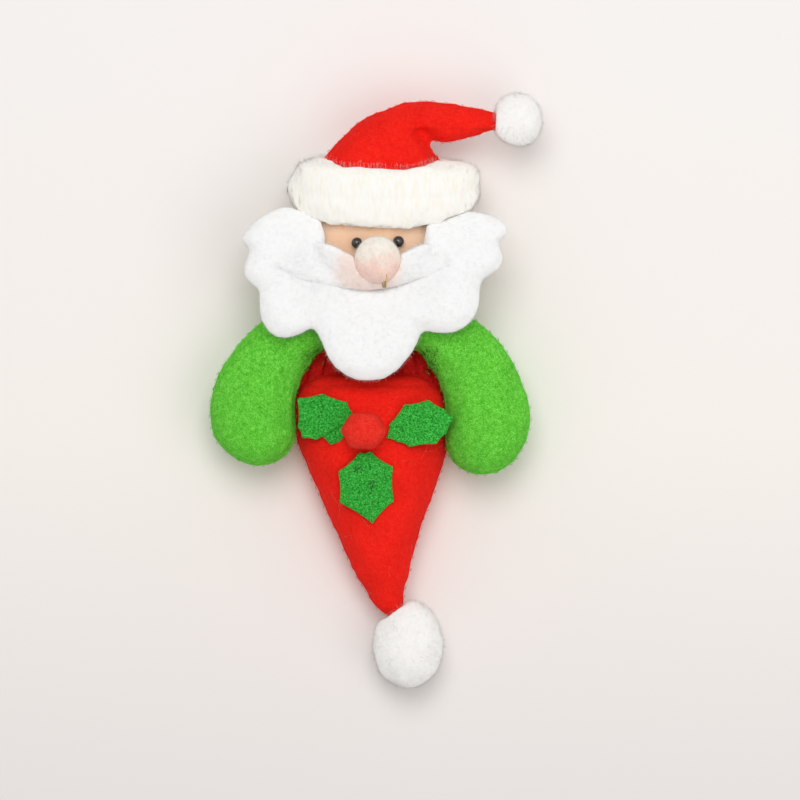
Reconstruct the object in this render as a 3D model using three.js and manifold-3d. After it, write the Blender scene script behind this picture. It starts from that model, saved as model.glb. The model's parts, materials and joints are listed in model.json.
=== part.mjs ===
// A stuffed Christmas figure of felt and plush, lying on its back.
// It is a bearded head in a red hat, two arms without hands and a cone body with a pompom at its tip.
// Millimetres. +Z points out of the face, +Y to the head, +X to the right of the picture.
// The origin is the middle of the flat patch under the body, on the surface that it lies on.

import * as THREE from "three";
import { LoftGeometry } from "three/addons/geometries/LoftGeometry.js";
import { mergeVertices } from "three/addons/utils/BufferGeometryUtils.js";
import Module from "manifold-3d";

const wasm = await Module();
wasm.setup();

// Felt, clearances and rest
const FELT = 1.2; // thickness of the sewn felt
const SEAT_GAP = 0.3; // clearance between pieces that touch
const REST_CUT = 0.5; // how far a soft back is pressed flat where it lies
const THINNEST = 0.2; // least half thickness at the end of a tapering form

// Body, a stuffed cone
const BODY_LENGTH = 77.2; // neck line to the middle of the tip
const BODY_HALF_WIDTH = 27.7;
const BODY_SEAM_HEIGHT = 11; // side seam above the surface it lies on
const BODY_FRONT_SWELL = 15.5; // front of the body above the side seam
const NECK_LINE = 18.5; // from the origin up to the crease below the collar
// Rows from the neck to the tip: along, sideways shift, half width, front swell, back swell
const bodyShares = [
  [0, 0, 0.62, 0.45, 0.45],
  [0.03, 0, 0.79, 0.68, 0.67],
  [0.08, 0, 0.93, 0.86, 0.87],
  [0.16, 0, 1, 0.97, 0.98],
  [0.25, 0.03, 0.965, 1, 1],
  [0.39, 0.06, 0.84, 0.97, 0.97],
  [0.54, 0.08, 0.675, 0.86, 0.82],
  [0.675, 0.09, 0.52, 0.7, 0.64],
  [0.84, 0.13, 0.36, 0.52, 0.46],
  [0.93, 0.17, 0.25, 0.4, 0.36],
  [1, 0.24, 0.2, 0.31, 0.3],
  [1.03, 0.27, 0.15, 0.24, 0.23],
  [1.05, 0.29, 0.06, 0.1, 0.1],
];

// Collar, a strip of pleated felt between the body and the head
const COLLAR_LENGTH = 21.8; // neck line to the bottom of the head
const COLLAR_HALF_WIDTH = 22;
const COLLAR_GATHERED_SHARE = 0.72; // width at the head as a share of the width at the body
const COLLAR_THICK = 2.6;
const COLLAR_BACK_HEIGHT = 8;
const PLEAT_DEPTH = 1.2;
const PLEATS = 8;
const COLLAR_TUCK = 5; // how far the strip goes up behind the curve of the head

// Head, a knitted ball
const HEAD_SHIFT = 2.6; // head to the right of the body's middle
const HEAD_HALF_WIDTH = 25;
const HEAD_HALF_HEIGHT = 22;
const HEAD_HALF_DEPTH = 14.5;
const HEAD_CENTRE_HEIGHT = 19.5; // above the surface it lies on
const KNIT = 1; // thickness of the knitted cover
const NECK_HOLE_RADIUS = 5;

// Eyes, black beads on a shank
const EYE_SPACING = 13.8;
const EYE_RADIUS = 1.92;
const EYE_LIFT = 0.1; // above the middle of the head
const EYE_RISE = 0.5; // right eye higher than the left one
const EYE_SINK = 0.9; // how far a bead sits in the knit
const SHANK_RADIUS = 0.5;
const SHANK_LENGTH = 3;

// Nose, a felted ball, with a scrap of gold thread under it
const NOSE_HALF_WIDTH = 8.5;
const NOSE_HALF_HEIGHT = 8.2;
const NOSE_HALF_DEPTH = 7.6;
const NOSE_DROP = 5.8; // below the middle of the head
const NOSE_SINK = 0.8; // how far it is pressed against the face
const THREAD_HALF_WIDTH = 0.75;
const THREAD_HALF_LENGTH = 2;
const THREAD_THICK = 0.4;
const THREAD_SHIFT = 2.2;
const THREAD_DROP = 6.5; // below the middle of the nose
const THREAD_TILT = 20; // degrees that it leans from the nose onto the moustache
const threadOutlineShares = [
  [-1, 0.95],
  [-0.45, 1],
  [0.05, 0.05],
  [0.6, 0.72],
  [1, 0.5],
  [0.2, -1],
];

// Beard, one thick sheet of flocked foam around the face
const BEARD_HALF_WIDTH = 45;
const BEARD_RISE = 25.3; // from the middle of the beard up to the hair under the hat
const BEARD_FALL = 32.6; // from the middle of the beard down to its tip
const BEARD_SHIFT = -0.7;
const BEARD_DROP = 14; // middle of the beard below the middle of the head
const BEARD_THICK = 9;
const BEARD_EDGE = 4; // rounding of its edges
const BEARD_BACK_HEIGHT = 26.6;
const roundestShare = 0.45; // most of a sheet's width that one rounded edge may take
// Outer edge from the hair on the left, round the three lobes, to the hair on the right
const beardOuterShares = [
  [-0.56, 1],
  [-0.67, 1.04],
  [-0.77, 1],
  [-0.87, 0.87],
  [-0.95, 0.74],
  [-1.01, 0.61],
  [-0.98, 0.51],
  [-0.93, 0.49],
  [-0.96, 0.36],
  [-0.99, 0.2],
  [-0.97, 0.05],
  [-0.91, -0.02],
  [-0.84, -0.03],
  [-0.87, -0.13],
  [-0.87, -0.28],
  [-0.85, -0.4],
  [-0.78, -0.51],
  [-0.68, -0.56],
  [-0.56, -0.51],
  [-0.46, -0.42],
  [-0.42, -0.56],
  [-0.37, -0.73],
  [-0.29, -0.87],
  [-0.18, -0.96],
  [-0.06, -1],
  [0.07, -0.97],
  [0.17, -0.88],
  [0.25, -0.75],
  [0.31, -0.6],
  [0.34, -0.45],
  [0.44, -0.51],
  [0.57, -0.51],
  [0.69, -0.44],
  [0.76, -0.31],
  [0.78, -0.17],
  [0.78, -0.05],
  [0.78, 0.05],
  [0.85, 0.12],
  [0.92, 0.2],
  [0.95, 0.34],
  [0.93, 0.5],
  [0.9, 0.59],
  [0.96, 0.61],
  [1, 0.68],
  [0.99, 0.78],
  [0.94, 0.86],
  [0.84, 0.93],
  [0.74, 0.97],
  [0.64, 0.99],
  [0.53, 0.96],
];
// Inner edge round the face, from top left to top right
const beardInnerShares = [
  [-0.4, 0.93],
  [-0.38, 0.66],
  [-0.33, 0.36],
  [-0.22, 0.11],
  [-0.03, -0.04],
  [0.19, 0.07],
  [0.32, 0.33],
  [0.37, 0.62],
  [0.38, 0.89],
];
const beardEndThickShares = [0.4, 0.6, 0.8]; // it thins out where it goes under the hat

// Moustache, a crescent of the same foam
const MOUSTACHE_HALF_WIDTH = 30.2;
const MOUSTACHE_HALF_HEIGHT = 8;
const MOUSTACHE_SHIFT = -5.2;
const MOUSTACHE_DROP = 7.7;
const MOUSTACHE_THICK = 4.5;
const MOUSTACHE_EDGE = 2;
// Rows from left to right: across, upper edge, lower edge
const moustacheShares = [
  [-1, 0.12, 0.02],
  [-0.91, 0.46, -0.19],
  [-0.77, 0.75, -0.5],
  [-0.61, 0.96, -0.71],
  [-0.43, 0.98, -0.81],
  [-0.31, 0.86, -0.88],
  [-0.23, 0.7, -0.94],
  [-0.14, 0.5, -1],
  [-0.03, 0.2, -1.06],
  [0.15, 0.05, -1.1],
  [0.31, 0.2, -0.98],
  [0.45, 0.56, -0.8],
  [0.54, 0.72, -0.71],
  [0.61, 0.86, -0.63],
  [0.72, 0.96, -0.48],
  [0.86, 0.79, -0.23],
  [0.94, 0.46, -0.04],
  [1, 0.12, 0.02],
];

// Arms, the same stuffed pattern mirrored
const SHOULDER_INSET = 18.4; // shoulders in from the widest place of the body
const SHOULDER_DROP = 26.3; // shoulders below the middle of the head
const ARM_REACH = 45; // shoulder out to the widest place
const LEFT_ARM_DROP = 47.7;
const RIGHT_ARM_DROP = 50.7;
const ARM_LIFT_ANGLE = 30; // degrees that an arm lifts out to its side
const ARM_SEAM_HEIGHT = 18;
const ARM_FRONT_SWELL = 10.5;
const ARM_BACK_SWELL = 13;
// Rows from the shoulder to the end: inner edge out and down, outer edge out and down, swells
const armShares = [
  [-0.12, 0.02, -0.1, -0.06, 0.25, 0.2],
  [-0.1, 0.07, -0.05, -0.1, 0.5, 0.36],
  [-0.03, 0.12, 0.03, -0.12, 0.62, 0.42],
  [0.11, 0.18, 0.19, -0.12, 0.63, 0.43],
  [0.18, 0.21, 0.36, -0.11, 0.63, 0.5],
  [0.21, 0.27, 0.59, -0.01, 0.63, 0.6],
  [0.29, 0.36, 0.78, 0.16, 0.63, 0.72],
  [0.33, 0.48, 0.92, 0.36, 0.74, 0.88],
  [0.34, 0.59, 0.99, 0.55, 0.93, 0.97],
  [0.34, 0.7, 0.99, 0.69, 1, 1],
  [0.34, 0.8, 0.95, 0.8, 0.97, 0.98],
  [0.39, 0.91, 0.86, 0.91, 0.82, 0.82],
  [0.48, 0.97, 0.76, 0.98, 0.55, 0.55],
  [0.58, 1, 0.67, 1, 0.25, 0.25],
];

// Hat, a stuffed felt cone that folds over into its tail
const HAT_SHIFT = 2.1; // hat to the right of the head's middle
const HAT_RISE = 17.7; // hat's rim above the middle of the head
const HAT_SEAM_HEIGHT = 20.2;
const CROWN_HALF_WIDTH = 23.9;
const CROWN_HEIGHT = 30;
const CROWN_HALF_DEPTH = 11.9;
// Rows from the rim to the fold: left edge across and up, right edge across and up, swell
const crownShares = [
  [-0.99, 0, 1, 0.02, 1],
  [-0.96, 0.19, 0.96, 0.22, 1],
  [-0.85, 0.37, 0.78, 0.41, 0.96],
  [-0.61, 0.58, 0.71, 0.47, 0.9],
  [-0.36, 0.77, 0.64, 0.53, 0.8],
  [-0.06, 0.88, 0.59, 0.57, 0.68],
  [0.25, 0.97, 0.565, 0.595, 0.57],
  [0.56, 1, 0.565, 0.61, 0.5],
];
const TAIL_LENGTH = 23.3;
const TAIL_HALF_WIDTH = 7;
const TAIL_FLOP_DOWN = 10; // degrees that the tail drops at its fold
const TAIL_FLOP_UP = 30; // degrees that the tail lifts at its fold
// Rows from the fold to the tip: along, upper edge, lower edge, swell
const tailShares = [
  [0, 0.81, 0.83, 0.85],
  [0.1, 0.84, 1.09, 0.88],
  [0.21, 0.8, 1.16, 0.9],
  [0.46, 0.69, 1.11, 0.84],
  [0.66, 0.57, 0.88, 0.7],
  [0.8, 0.49, 0.73, 0.58],
  [1, 0.36, 0.52, 0.42],
  [1.07, 0.24, 0.4, 0.32],
  [1.11, 0.08, 0.23, 0.16],
];

// Fur band round the rim of the hat
const BAND_HALF_WIDTH = 27.3; // middle of the fur, across
const BAND_HALF_DEPTH = 15.4; // middle of the fur, front to back
const BAND_HALF_HEIGHT = 9.6;
const BAND_HALF_THICK = 5.4;
const BAND_LIFT = 5; // middle of the band at the back, above the rim of the hat
const BAND_SAG = 7.2; // the front hangs this much lower than the back
const BAND_CORNER_SHARE = 0.75; // below 1 the band is squarer than an ellipse

// Pompoms, fluffy balls
const HAT_POMPOM_HALF_WIDTH = 8.2;
const HAT_POMPOM_HALF_HEIGHT = 9;
const HAT_POMPOM_REACH = 8; // its middle beyond the tip of the tail
const BODY_POMPOM_HALF_WIDTH = 11.8;
const BODY_POMPOM_HALF_HEIGHT = 14.3;
const BODY_POMPOM_HALF_DEPTH = 12;
const BODY_POMPOM_SHIFT = 6; // its middle to the right of the body's tip
const BODY_POMPOM_DROP = 13.3; // its middle below the body's tip
const POMPOM_SWING = 12; // degrees that a pompom leans to each side

// Holly, cut from flat felt, and its berry
const LEAF_THICK = 1.2;
const BERRY_HALF_WIDTH = 7.5;
const BERRY_HALF_HEIGHT = 6.5;
const BERRY_HALF_DEPTH = 6.2;
const BERRY_SHIFT = -2;
const BERRY_DROP = 0.3;
const leafScallopShare = 0.1; // how far the edges between two points draw in
const leafSeatShares = [0, 0.5, 1]; // places from the middle to the edge where a leaf may touch the body
// Each leaf: middle of the leaf from the berry, its half sizes, and its points
const LEFT_LEAF = { across: -13.3, up: 4.7, halfWidth: 9.7, halfHeight: 7.8 };
const leftLeafShares = [
  [-0.93, 0.81],
  [-0.05, 1],
  [0.82, 0.62],
  [1, 0.15],
  [0.76, -0.3],
  [0, -0.85],
  [-0.26, -1],
  [-0.76, -0.93],
  [-0.9, -0.47],
];
const SMALL_LEAF = { across: -8.6, up: -1.3, halfWidth: 4.4, halfHeight: 3.2 };
const smallLeafShares = [
  [-0.94, -0.36],
  [-0.4, -1],
  [0.25, -0.75],
  [0.8, -0.1],
  [1, 0.95],
  [0.78, 1.1],
  [-0.12, 0.45],
];
const RIGHT_LEAF = { across: 18.7, up: 2.6, halfWidth: 11.6, halfHeight: 8 };
const rightLeafShares = [
  [-1, -0.64],
  [-0.9, -0.06],
  [-0.46, 0.77],
  [0.25, 0.98],
  [0.7, 0.59],
  [0.99, 0.23],
  [0.77, -0.42],
  [0.47, -0.87],
  [-0.3, -1],
  [-0.68, -0.77],
];
const LOWER_LEAF = { across: 0.7, up: -18.7, halfWidth: 9.3, halfHeight: 12.2 };
const lowerLeafShares = [
  [-0.22, 0.96],
  [0.15, 0.99],
  [0.97, 0.56],
  [1, -0.38],
  [0.23, -1],
  [-0.95, -0.43],
  [-1, 0.43],
];
const LEFT_LEAF_TILT = 14; // degrees that each leaf drops away from the berry
const RIGHT_LEAF_TILT = 2;
const LOWER_LEAF_TILT = 9.5;

// How finely round forms are divided
const STUFFED_STEPS = 13;
const STUFFED_SIDES = 12;
const BALL_SIDES = 18;
const BALL_RINGS = 10;
const BEAD_SIDES = 10;
const BEAD_STEPS = 6;
const LEAF_CURVE_STEPS = 3;
const EDGE_STEPS = 4;
const POMPOM_DETAIL = 3;
const BAND_STEPS = 32;
const BAND_SIDES = 10;
const SWEEP_STEPS = 2;
const SEARCH_STEP_SHARE = 0.002;
const REACH = 4 * BODY_LENGTH; // longer than the whole figure

// Places that follow from the sizes
const HEAD = new THREE.Vector3(HEAD_SHIFT, NECK_LINE + COLLAR_LENGTH + HEAD_HALF_HEIGHT, HEAD_CENTRE_HEIGHT);
const HAT = new THREE.Vector3(HEAD.x + HAT_SHIFT, HEAD.y + HAT_RISE, HAT_SEAM_HEIGHT);
const BEARD = new THREE.Vector2(HEAD.x + BEARD_SHIFT, HEAD.y - BEARD_DROP);
const MOUSTACHE = new THREE.Vector2(HEAD.x + MOUSTACHE_SHIFT, HEAD.y - MOUSTACHE_DROP);
const BERRY = new THREE.Vector2(BERRY_SHIFT, -BERRY_DROP);

const materials = {
  red: cloth(0xd8140c, 0.9),
  darkRed: cloth(0x8e0d0a, 0.95),
  lime: cloth(0x5cc22c, 0.9),
  leafGreen: cloth(0x159a2a, 0.95),
  berryRed: cloth(0xe8241c, 0.95),
  skin: cloth(0xf0b990, 0.85),
  noseSkin: cloth(0xf2c0ae, 0.95),
  white: cloth(0xf6f4f0, 1),
  cream: cloth(0xf7f0e2, 1),
  filling: cloth(0xece8e0, 1),
  black: new THREE.MeshStandardMaterial({ color: 0x090909, roughness: 0.12 }),
  gold: new THREE.MeshStandardMaterial({ color: 0xb9913f, roughness: 0.35, metalness: 1 }),
};

function cloth(color, roughness) {
  return new THREE.MeshStandardMaterial({ color, roughness, metalness: 0 });
}

// A closed geometry as a solid that can be cut and joined.
function solid(geometry) {
  const bare = new THREE.BufferGeometry();
  bare.setAttribute("position", geometry.getAttribute("position"));
  if (geometry.index) bare.setIndex(geometry.index);
  const merged = mergeVertices(bare);
  const vertProperties = merged.getAttribute("position").array;
  const triVerts = new Uint32Array(merged.index.array);
  return new wasm.Manifold(new wasm.Mesh({ numProp: 3, vertProperties, triVerts }));
}

function mesh(name, body, material) {
  const made = body.getMesh();
  const geometry = new THREE.BufferGeometry();
  geometry.setAttribute("position", new THREE.BufferAttribute(new Float32Array(made.vertProperties), 3));
  geometry.setIndex(new THREE.BufferAttribute(new Uint32Array(made.triVerts), 1));
  geometry.computeVertexNormals();
  const piece = new THREE.Mesh(geometry, material);
  piece.name = name;
  return piece;
}

// All that lies in front of a height, or behind it.
function inFrontOf(height) {
  return solid(new THREE.BoxGeometry(REACH, REACH, REACH).translate(0, 0, height + REACH / 2));
}

function ellipsoid(centre, half, inset) {
  const ball = new THREE.SphereGeometry(1, BALL_SIDES, BALL_RINGS);
  ball.scale(half.x - inset, half.y - inset, half.z - inset);
  return solid(ball.translate(centre.x, centre.y, centre.z));
}

// Everything that a solid passes through as it turns about an upright line, from one angle to another.
function swept(body, pivot, from, to) {
  let sweep = body;
  for (let i = 0; i <= SWEEP_STEPS; i++) {
    const angle = from + ((to - from) * i) / SWEEP_STEPS;
    const turned = body
      .translate([-pivot.x, -pivot.y, 0])
      .rotate([0, 0, angle])
      .translate([pivot.x, pivot.y, 0]);
    sweep = sweep.add(turned);
  }
  return sweep;
}

// A stuffed form is two edge curves that meet at a flat seam, with a swell in front and behind.
// Left and right are those of someone who walks from its start to its end.
function stuffedForm(rows, seam, openStart) {
  const points = (pick) => rows.map((row) => new THREE.Vector3(...pick(row)));
  return {
    left: new THREE.CatmullRomCurve3(points((row) => [row.left[0], row.left[1], 0])),
    right: new THREE.CatmullRomCurve3(points((row) => [row.right[0], row.right[1], 0])),
    swell: new THREE.CatmullRomCurve3(points((row) => [row.front, row.back, 0])),
    seam,
    openStart,
  };
}

function middleOf(form, t) {
  return form.left.getPoint(t).add(form.right.getPoint(t)).multiplyScalar(0.5);
}

// The place on a form that lies a given distance in from one of its ends.
function inFromEnd(form, end, distance) {
  const tip = middleOf(form, end);
  const step = end === 0 ? SEARCH_STEP_SHARE : -SEARCH_STEP_SHARE;
  let t = end;
  while (middleOf(form, t).distanceTo(tip) < distance) t += step;
  return t;
}

// One ring of the form. A face of 1 gives its front half, -1 its back half and 0 the whole.
function stuffedSection(form, t, inset, outward, face) {
  const left = form.left.getPoint(t);
  const right = form.right.getPoint(t);
  const swell = form.swell.getPoint(t);
  const side = left.clone().sub(right);
  const half = Math.max(side.length() / 2 - inset, THINNEST);
  side.normalize();
  const travel = new THREE.Vector3(side.y, -side.x, 0);
  const middle = middleOf(form, t).addScaledVector(travel, outward);
  const seam = form.seam + (face * SEAT_GAP) / 2;
  const ring = [];
  const add = (angle, drop) => {
    const rise = Math.sin(angle);
    const depth = Math.max((rise > 0 ? swell.x : swell.y) - inset, THINNEST);
    const point = middle.clone().addScaledVector(side, half * Math.cos(angle));
    ring.push(point.setZ(seam - drop + depth * rise));
  };
  const first = face < 0 ? STUFFED_SIDES / 2 : 0;
  const last = face > 0 ? STUFFED_SIDES / 2 : STUFFED_SIDES - (face === 0 ? 1 : 0);
  const angleOf = (k) => (2 * Math.PI * k) / STUFFED_SIDES;
  if (face !== 0 && inset > 0) add(angleOf(first), face * FELT);
  for (let k = first; k <= last; k++) add(angleOf(k), 0);
  if (face !== 0 && inset > 0) add(angleOf(last), face * FELT);
  return ring;
}

// The form's solid, drawn in everywhere by an inset, or grown where the inset is below zero.
function stuffedSolid(form, inset, face = 0) {
  const inwards = Math.max(inset, 0);
  const outwards = Math.max(-inset, 0);
  const start = form.openStart ? 0 : inFromEnd(form, 0, inwards);
  const end = inFromEnd(form, 1, inwards);
  const sections = [];
  for (let i = 0; i <= STUFFED_STEPS; i++) {
    const t = start + ((end - start) * i) / STUFFED_STEPS;
    const outward = i === 0 ? -outwards : i === STUFFED_STEPS ? outwards : 0;
    sections.push(stuffedSection(form, t, inset, outward, face));
  }
  const runsOut = form.openStart && inset > 0 && inset <= FELT;
  if (runsOut) sections.unshift(stuffedSection(form, start, inset, -FELT, face));
  return solid(new LoftGeometry(sections, { capStart: true, capEnd: true }));
}

// Front panel, back panel and filling of a stuffed piece, given its shape at any inset.
// Where it is open onto another piece, that piece is cut out of all three.
function stuffedPieces(name, shape, material, opensOnto) {
  const opened = (piece) => (opensOnto ? piece.subtract(opensOnto) : piece);
  return [
    mesh(name + "_front_panel", opened(shape(0, 1).subtract(shape(FELT, 1))), material),
    mesh(name + "_back_panel", opened(shape(0, -1).subtract(shape(FELT, -1))), material),
    mesh(name + "_filling", opened(shape(FELT + SEAT_GAP, 0)), materials.filling),
  ];
}

// Where along a form its row at the full length lies, from 0 to 1.
function placeOfTip(rows) {
  return rows.findIndex(([along]) => along === 1) / (rows.length - 1);
}

function halfWidthAt(form, t) {
  return form.left.getPoint(t).distanceTo(form.right.getPoint(t)) / 2;
}

// Body
const bodyForm = stuffedForm(
  bodyShares.map(([along, shift, half, front, back]) => {
    const x = shift * BODY_HALF_WIDTH;
    const y = NECK_LINE - along * BODY_LENGTH;
    return {
      left: [x + half * BODY_HALF_WIDTH, y],
      right: [x - half * BODY_HALF_WIDTH, y],
      front: front * BODY_FRONT_SWELL,
      back: back * (BODY_SEAM_HEIGHT + REST_CUT),
    };
  }),
  BODY_SEAM_HEIGHT,
  false,
);

function bodyShape(inset, face = 0) {
  return stuffedSolid(bodyForm, inset, face).intersect(inFrontOf(inset));
}

// Height of the front of the body over a place on the plan.
function bodyFrontAt(x, y) {
  const along = THREE.MathUtils.clamp((NECK_LINE - y) / BODY_LENGTH, 0, 1);
  const next = Math.max(1, bodyShares.findIndex((row) => row[0] >= along));
  const [a, b] = [bodyShares[next - 1], bodyShares[next]];
  const mix = (along - a[0]) / (b[0] - a[0]);
  const [, shift, half, front] = a.map((value, i) => THREE.MathUtils.lerp(value, b[i], mix));
  const across = Math.min(1, Math.abs(x / BODY_HALF_WIDTH - shift) / half);
  return BODY_SEAM_HEIGHT + front * BODY_FRONT_SWELL * Math.sqrt(1 - across * across);
}

// A pompom with a round socket for the tip of the form that carries it.
function pompomOn(form, place, seam, depth, shift, half) {
  const tip = middleOf(form, place).setZ(seam);
  const reach = halfWidthAt(form, place);
  const ball = new THREE.IcosahedronGeometry(1, POMPOM_DETAIL).scale(half.x, half.y, half.z);
  const centre = tip.clone().add(shift);
  const socket = ellipsoid(tip, new THREE.Vector3(reach, reach, depth), -SEAT_GAP);
  return solid(ball.translate(centre.x, centre.y, centre.z)).subtract(socket);
}

function bodyPompom() {
  const tip = placeOfTip(bodyShares);
  const rest = BODY_POMPOM_HALF_DEPTH - REST_CUT;
  const shift = new THREE.Vector3(BODY_POMPOM_SHIFT, -BODY_POMPOM_DROP, rest - BODY_SEAM_HEIGHT);
  const half = new THREE.Vector3(BODY_POMPOM_HALF_WIDTH, BODY_POMPOM_HALF_HEIGHT, BODY_POMPOM_HALF_DEPTH);
  const depth = bodyForm.swell.getPoint(tip).x;
  return pompomOn(bodyForm, tip, BODY_SEAM_HEIGHT, depth, shift, half).intersect(inFrontOf(0));
}

// Berry and holly leaves
const berryHeight = bodyFrontAt(BERRY.x, BERRY.y) + SEAT_GAP + BERRY_HALF_DEPTH;

function berry(inset) {
  const centre = new THREE.Vector3(BERRY.x, BERRY.y, berryHeight);
  const half = new THREE.Vector3(BERRY_HALF_WIDTH, BERRY_HALF_HEIGHT, BERRY_HALF_DEPTH);
  return ellipsoid(centre, half, inset);
}

// A flat leaf that drops by a slope, across and upwards, laid as low as the body lets it.
function leaf(size, outlineShares, slopeAcross, slopeUp) {
  const centre = new THREE.Vector2(BERRY.x + size.across, BERRY.y + size.up);
  const tips = outlineShares.map(([x, y]) => new THREE.Vector2(x * size.halfWidth, y * size.halfHeight));
  const outline = new THREE.Shape().moveTo(tips[0].x, tips[0].y);
  tips.forEach((tip, i) => {
    const next = tips[(i + 1) % tips.length];
    const bend = tip.clone().add(next).multiplyScalar((1 - leafScallopShare) / 2);
    outline.quadraticCurveTo(bend.x, bend.y, next.x, next.y);
  });
  const plan = outline.getPoints(LEAF_CURVE_STEPS);
  const heights = plan.flatMap((p) =>
    leafSeatShares.map((share) => {
      const at = p.clone().multiplyScalar(share);
      return bodyFrontAt(centre.x + at.x, centre.y + at.y) - slopeAcross * at.x - slopeUp * at.y;
    }),
  );
  const seat = Math.max(...heights) + SEAT_GAP;
  const sheet = { depth: LEAF_THICK, bevelEnabled: false, curveSegments: LEAF_CURVE_STEPS };
  const flat = new THREE.ExtrudeGeometry(outline, sheet);
  const lean = new THREE.Matrix4().set(1, 0, 0, 0, 0, 1, 0, 0, slopeAcross, slopeUp, 1, 0, 0, 0, 0, 1);
  return solid(flat.applyMatrix4(lean).translate(centre.x, centre.y, seat)).subtract(berry(-SEAT_GAP));
}

function slope(degrees) {
  return Math.tan(THREE.MathUtils.degToRad(degrees));
}

// Head, eyes and nose
const headHalf = new THREE.Vector3(HEAD_HALF_WIDTH, HEAD_HALF_HEIGHT, HEAD_HALF_DEPTH);

function headShape(inset) {
  return ellipsoid(HEAD, headHalf, inset);
}

function headFrontAt(x, y) {
  const across = (x - HEAD.x) / HEAD_HALF_WIDTH;
  const up = (y - HEAD.y) / HEAD_HALF_HEIGHT;
  return HEAD.z + HEAD_HALF_DEPTH * Math.sqrt(Math.max(0, 1 - across * across - up * up));
}

function eyeBead(side, inset) {
  const radius = EYE_RADIUS - inset;
  const stem = SHANK_RADIUS - inset;
  const profile = [new THREE.Vector2(0, -radius - SHANK_LENGTH + inset)];
  profile.push(new THREE.Vector2(stem, -radius - SHANK_LENGTH + inset));
  const join = Math.acos(stem / radius);
  for (let i = 0; i < BEAD_STEPS; i++) {
    const angle = THREE.MathUtils.lerp(-join, Math.PI / 2, i / BEAD_STEPS);
    profile.push(new THREE.Vector2(radius * Math.cos(angle), radius * Math.sin(angle)));
  }
  profile.push(new THREE.Vector2(0, radius));
  const x = HEAD.x + (side * EYE_SPACING) / 2;
  const y = HEAD.y + EYE_LIFT + (side * EYE_RISE) / 2;
  const bead = new THREE.LatheGeometry(profile, BEAD_SIDES).rotateX(Math.PI / 2);
  return solid(bead.translate(x, y, headFrontAt(x, y) + EYE_RADIUS - EYE_SINK));
}

function headCover() {
  const hole = new THREE.CylinderGeometry(NECK_HOLE_RADIUS, NECK_HOLE_RADIUS, HEAD_HALF_HEIGHT, BALL_SIDES);
  const neckHole = solid(hole.translate(HEAD.x, HEAD.y - HEAD_HALF_HEIGHT, HEAD.z));
  return headShape(0)
    .subtract(headShape(KNIT))
    .subtract(neckHole)
    .subtract(eyeBead(-1, -SEAT_GAP))
    .subtract(eyeBead(1, -SEAT_GAP));
}

function headFilling() {
  return headShape(KNIT + SEAT_GAP).subtract(eyeBead(-1, -SEAT_GAP)).subtract(eyeBead(1, -SEAT_GAP));
}

const NOSE = new THREE.Vector3(HEAD.x, HEAD.y - NOSE_DROP, 0);
NOSE.z = headFrontAt(NOSE.x, NOSE.y) + NOSE_HALF_DEPTH - NOSE_SINK;
const noseHalf = new THREE.Vector3(NOSE_HALF_WIDTH, NOSE_HALF_HEIGHT, NOSE_HALF_DEPTH);

function nose(inset) {
  return ellipsoid(NOSE, noseHalf, inset).subtract(headShape(-SEAT_GAP - inset));
}

// The space that the nose takes when it is seen from the front.
function noseOpening() {
  const round = new THREE.CylinderGeometry(1, 1, REACH, BALL_SIDES).rotateX(Math.PI / 2);
  round.scale(NOSE_HALF_WIDTH + SEAT_GAP, NOSE_HALF_HEIGHT + SEAT_GAP, 1);
  return solid(round.translate(NOSE.x, NOSE.y, NOSE.z + REACH / 2));
}

function noseThread() {
  const outline = new THREE.Shape(
    threadOutlineShares.map(([x, y]) => new THREE.Vector2(x * THREAD_HALF_WIDTH, y * THREAD_HALF_LENGTH)),
  );
  const flat = new THREE.ExtrudeGeometry(outline, { depth: THREAD_THICK, bevelEnabled: false });
  const tilt = THREE.MathUtils.degToRad(THREAD_TILT);
  flat.rotateX(tilt);
  const up = (THREAD_HALF_LENGTH * Math.cos(tilt) - THREAD_DROP) / NOSE_HALF_HEIGHT;
  const rest = NOSE.z + NOSE_HALF_DEPTH * Math.sqrt(1 - up * up) + SEAT_GAP;
  const height = rest - THREAD_HALF_LENGTH * Math.sin(tilt);
  return solid(flat.translate(NOSE.x + THREAD_SHIFT, NOSE.y - THREAD_DROP, height));
}

// Collar
function collar() {
  const rows = [
    { y: NECK_LINE + SEAT_GAP, half: COLLAR_HALF_WIDTH },
    { y: NECK_LINE + COLLAR_LENGTH / 2, half: COLLAR_HALF_WIDTH * (1 + COLLAR_GATHERED_SHARE) / 2 },
    { y: NECK_LINE + COLLAR_LENGTH + COLLAR_TUCK, half: COLLAR_HALF_WIDTH * COLLAR_GATHERED_SHARE },
  ];
  const folds = 2 * PLEATS;
  const sections = rows.map(({ y, half }) => {
    const ring = [];
    for (let i = 0; i <= folds; i++) {
      const x = half * ((2 * i) / folds - 1);
      const crest = i % 2 === 0 ? 0 : PLEAT_DEPTH;
      ring.push(new THREE.Vector3(x, y, COLLAR_BACK_HEIGHT + COLLAR_THICK + crest));
    }
    for (let i = folds; i >= 0; i--) {
      const x = half * ((2 * i) / folds - 1);
      const crest = i % 2 === 0 ? 0 : PLEAT_DEPTH;
      ring.push(new THREE.Vector3(x, y, COLLAR_BACK_HEIGHT + crest));
    }
    return ring;
  });
  return solid(new LoftGeometry(sections, { capStart: true, capEnd: true })).subtract(headShape(-SEAT_GAP));
}

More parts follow.
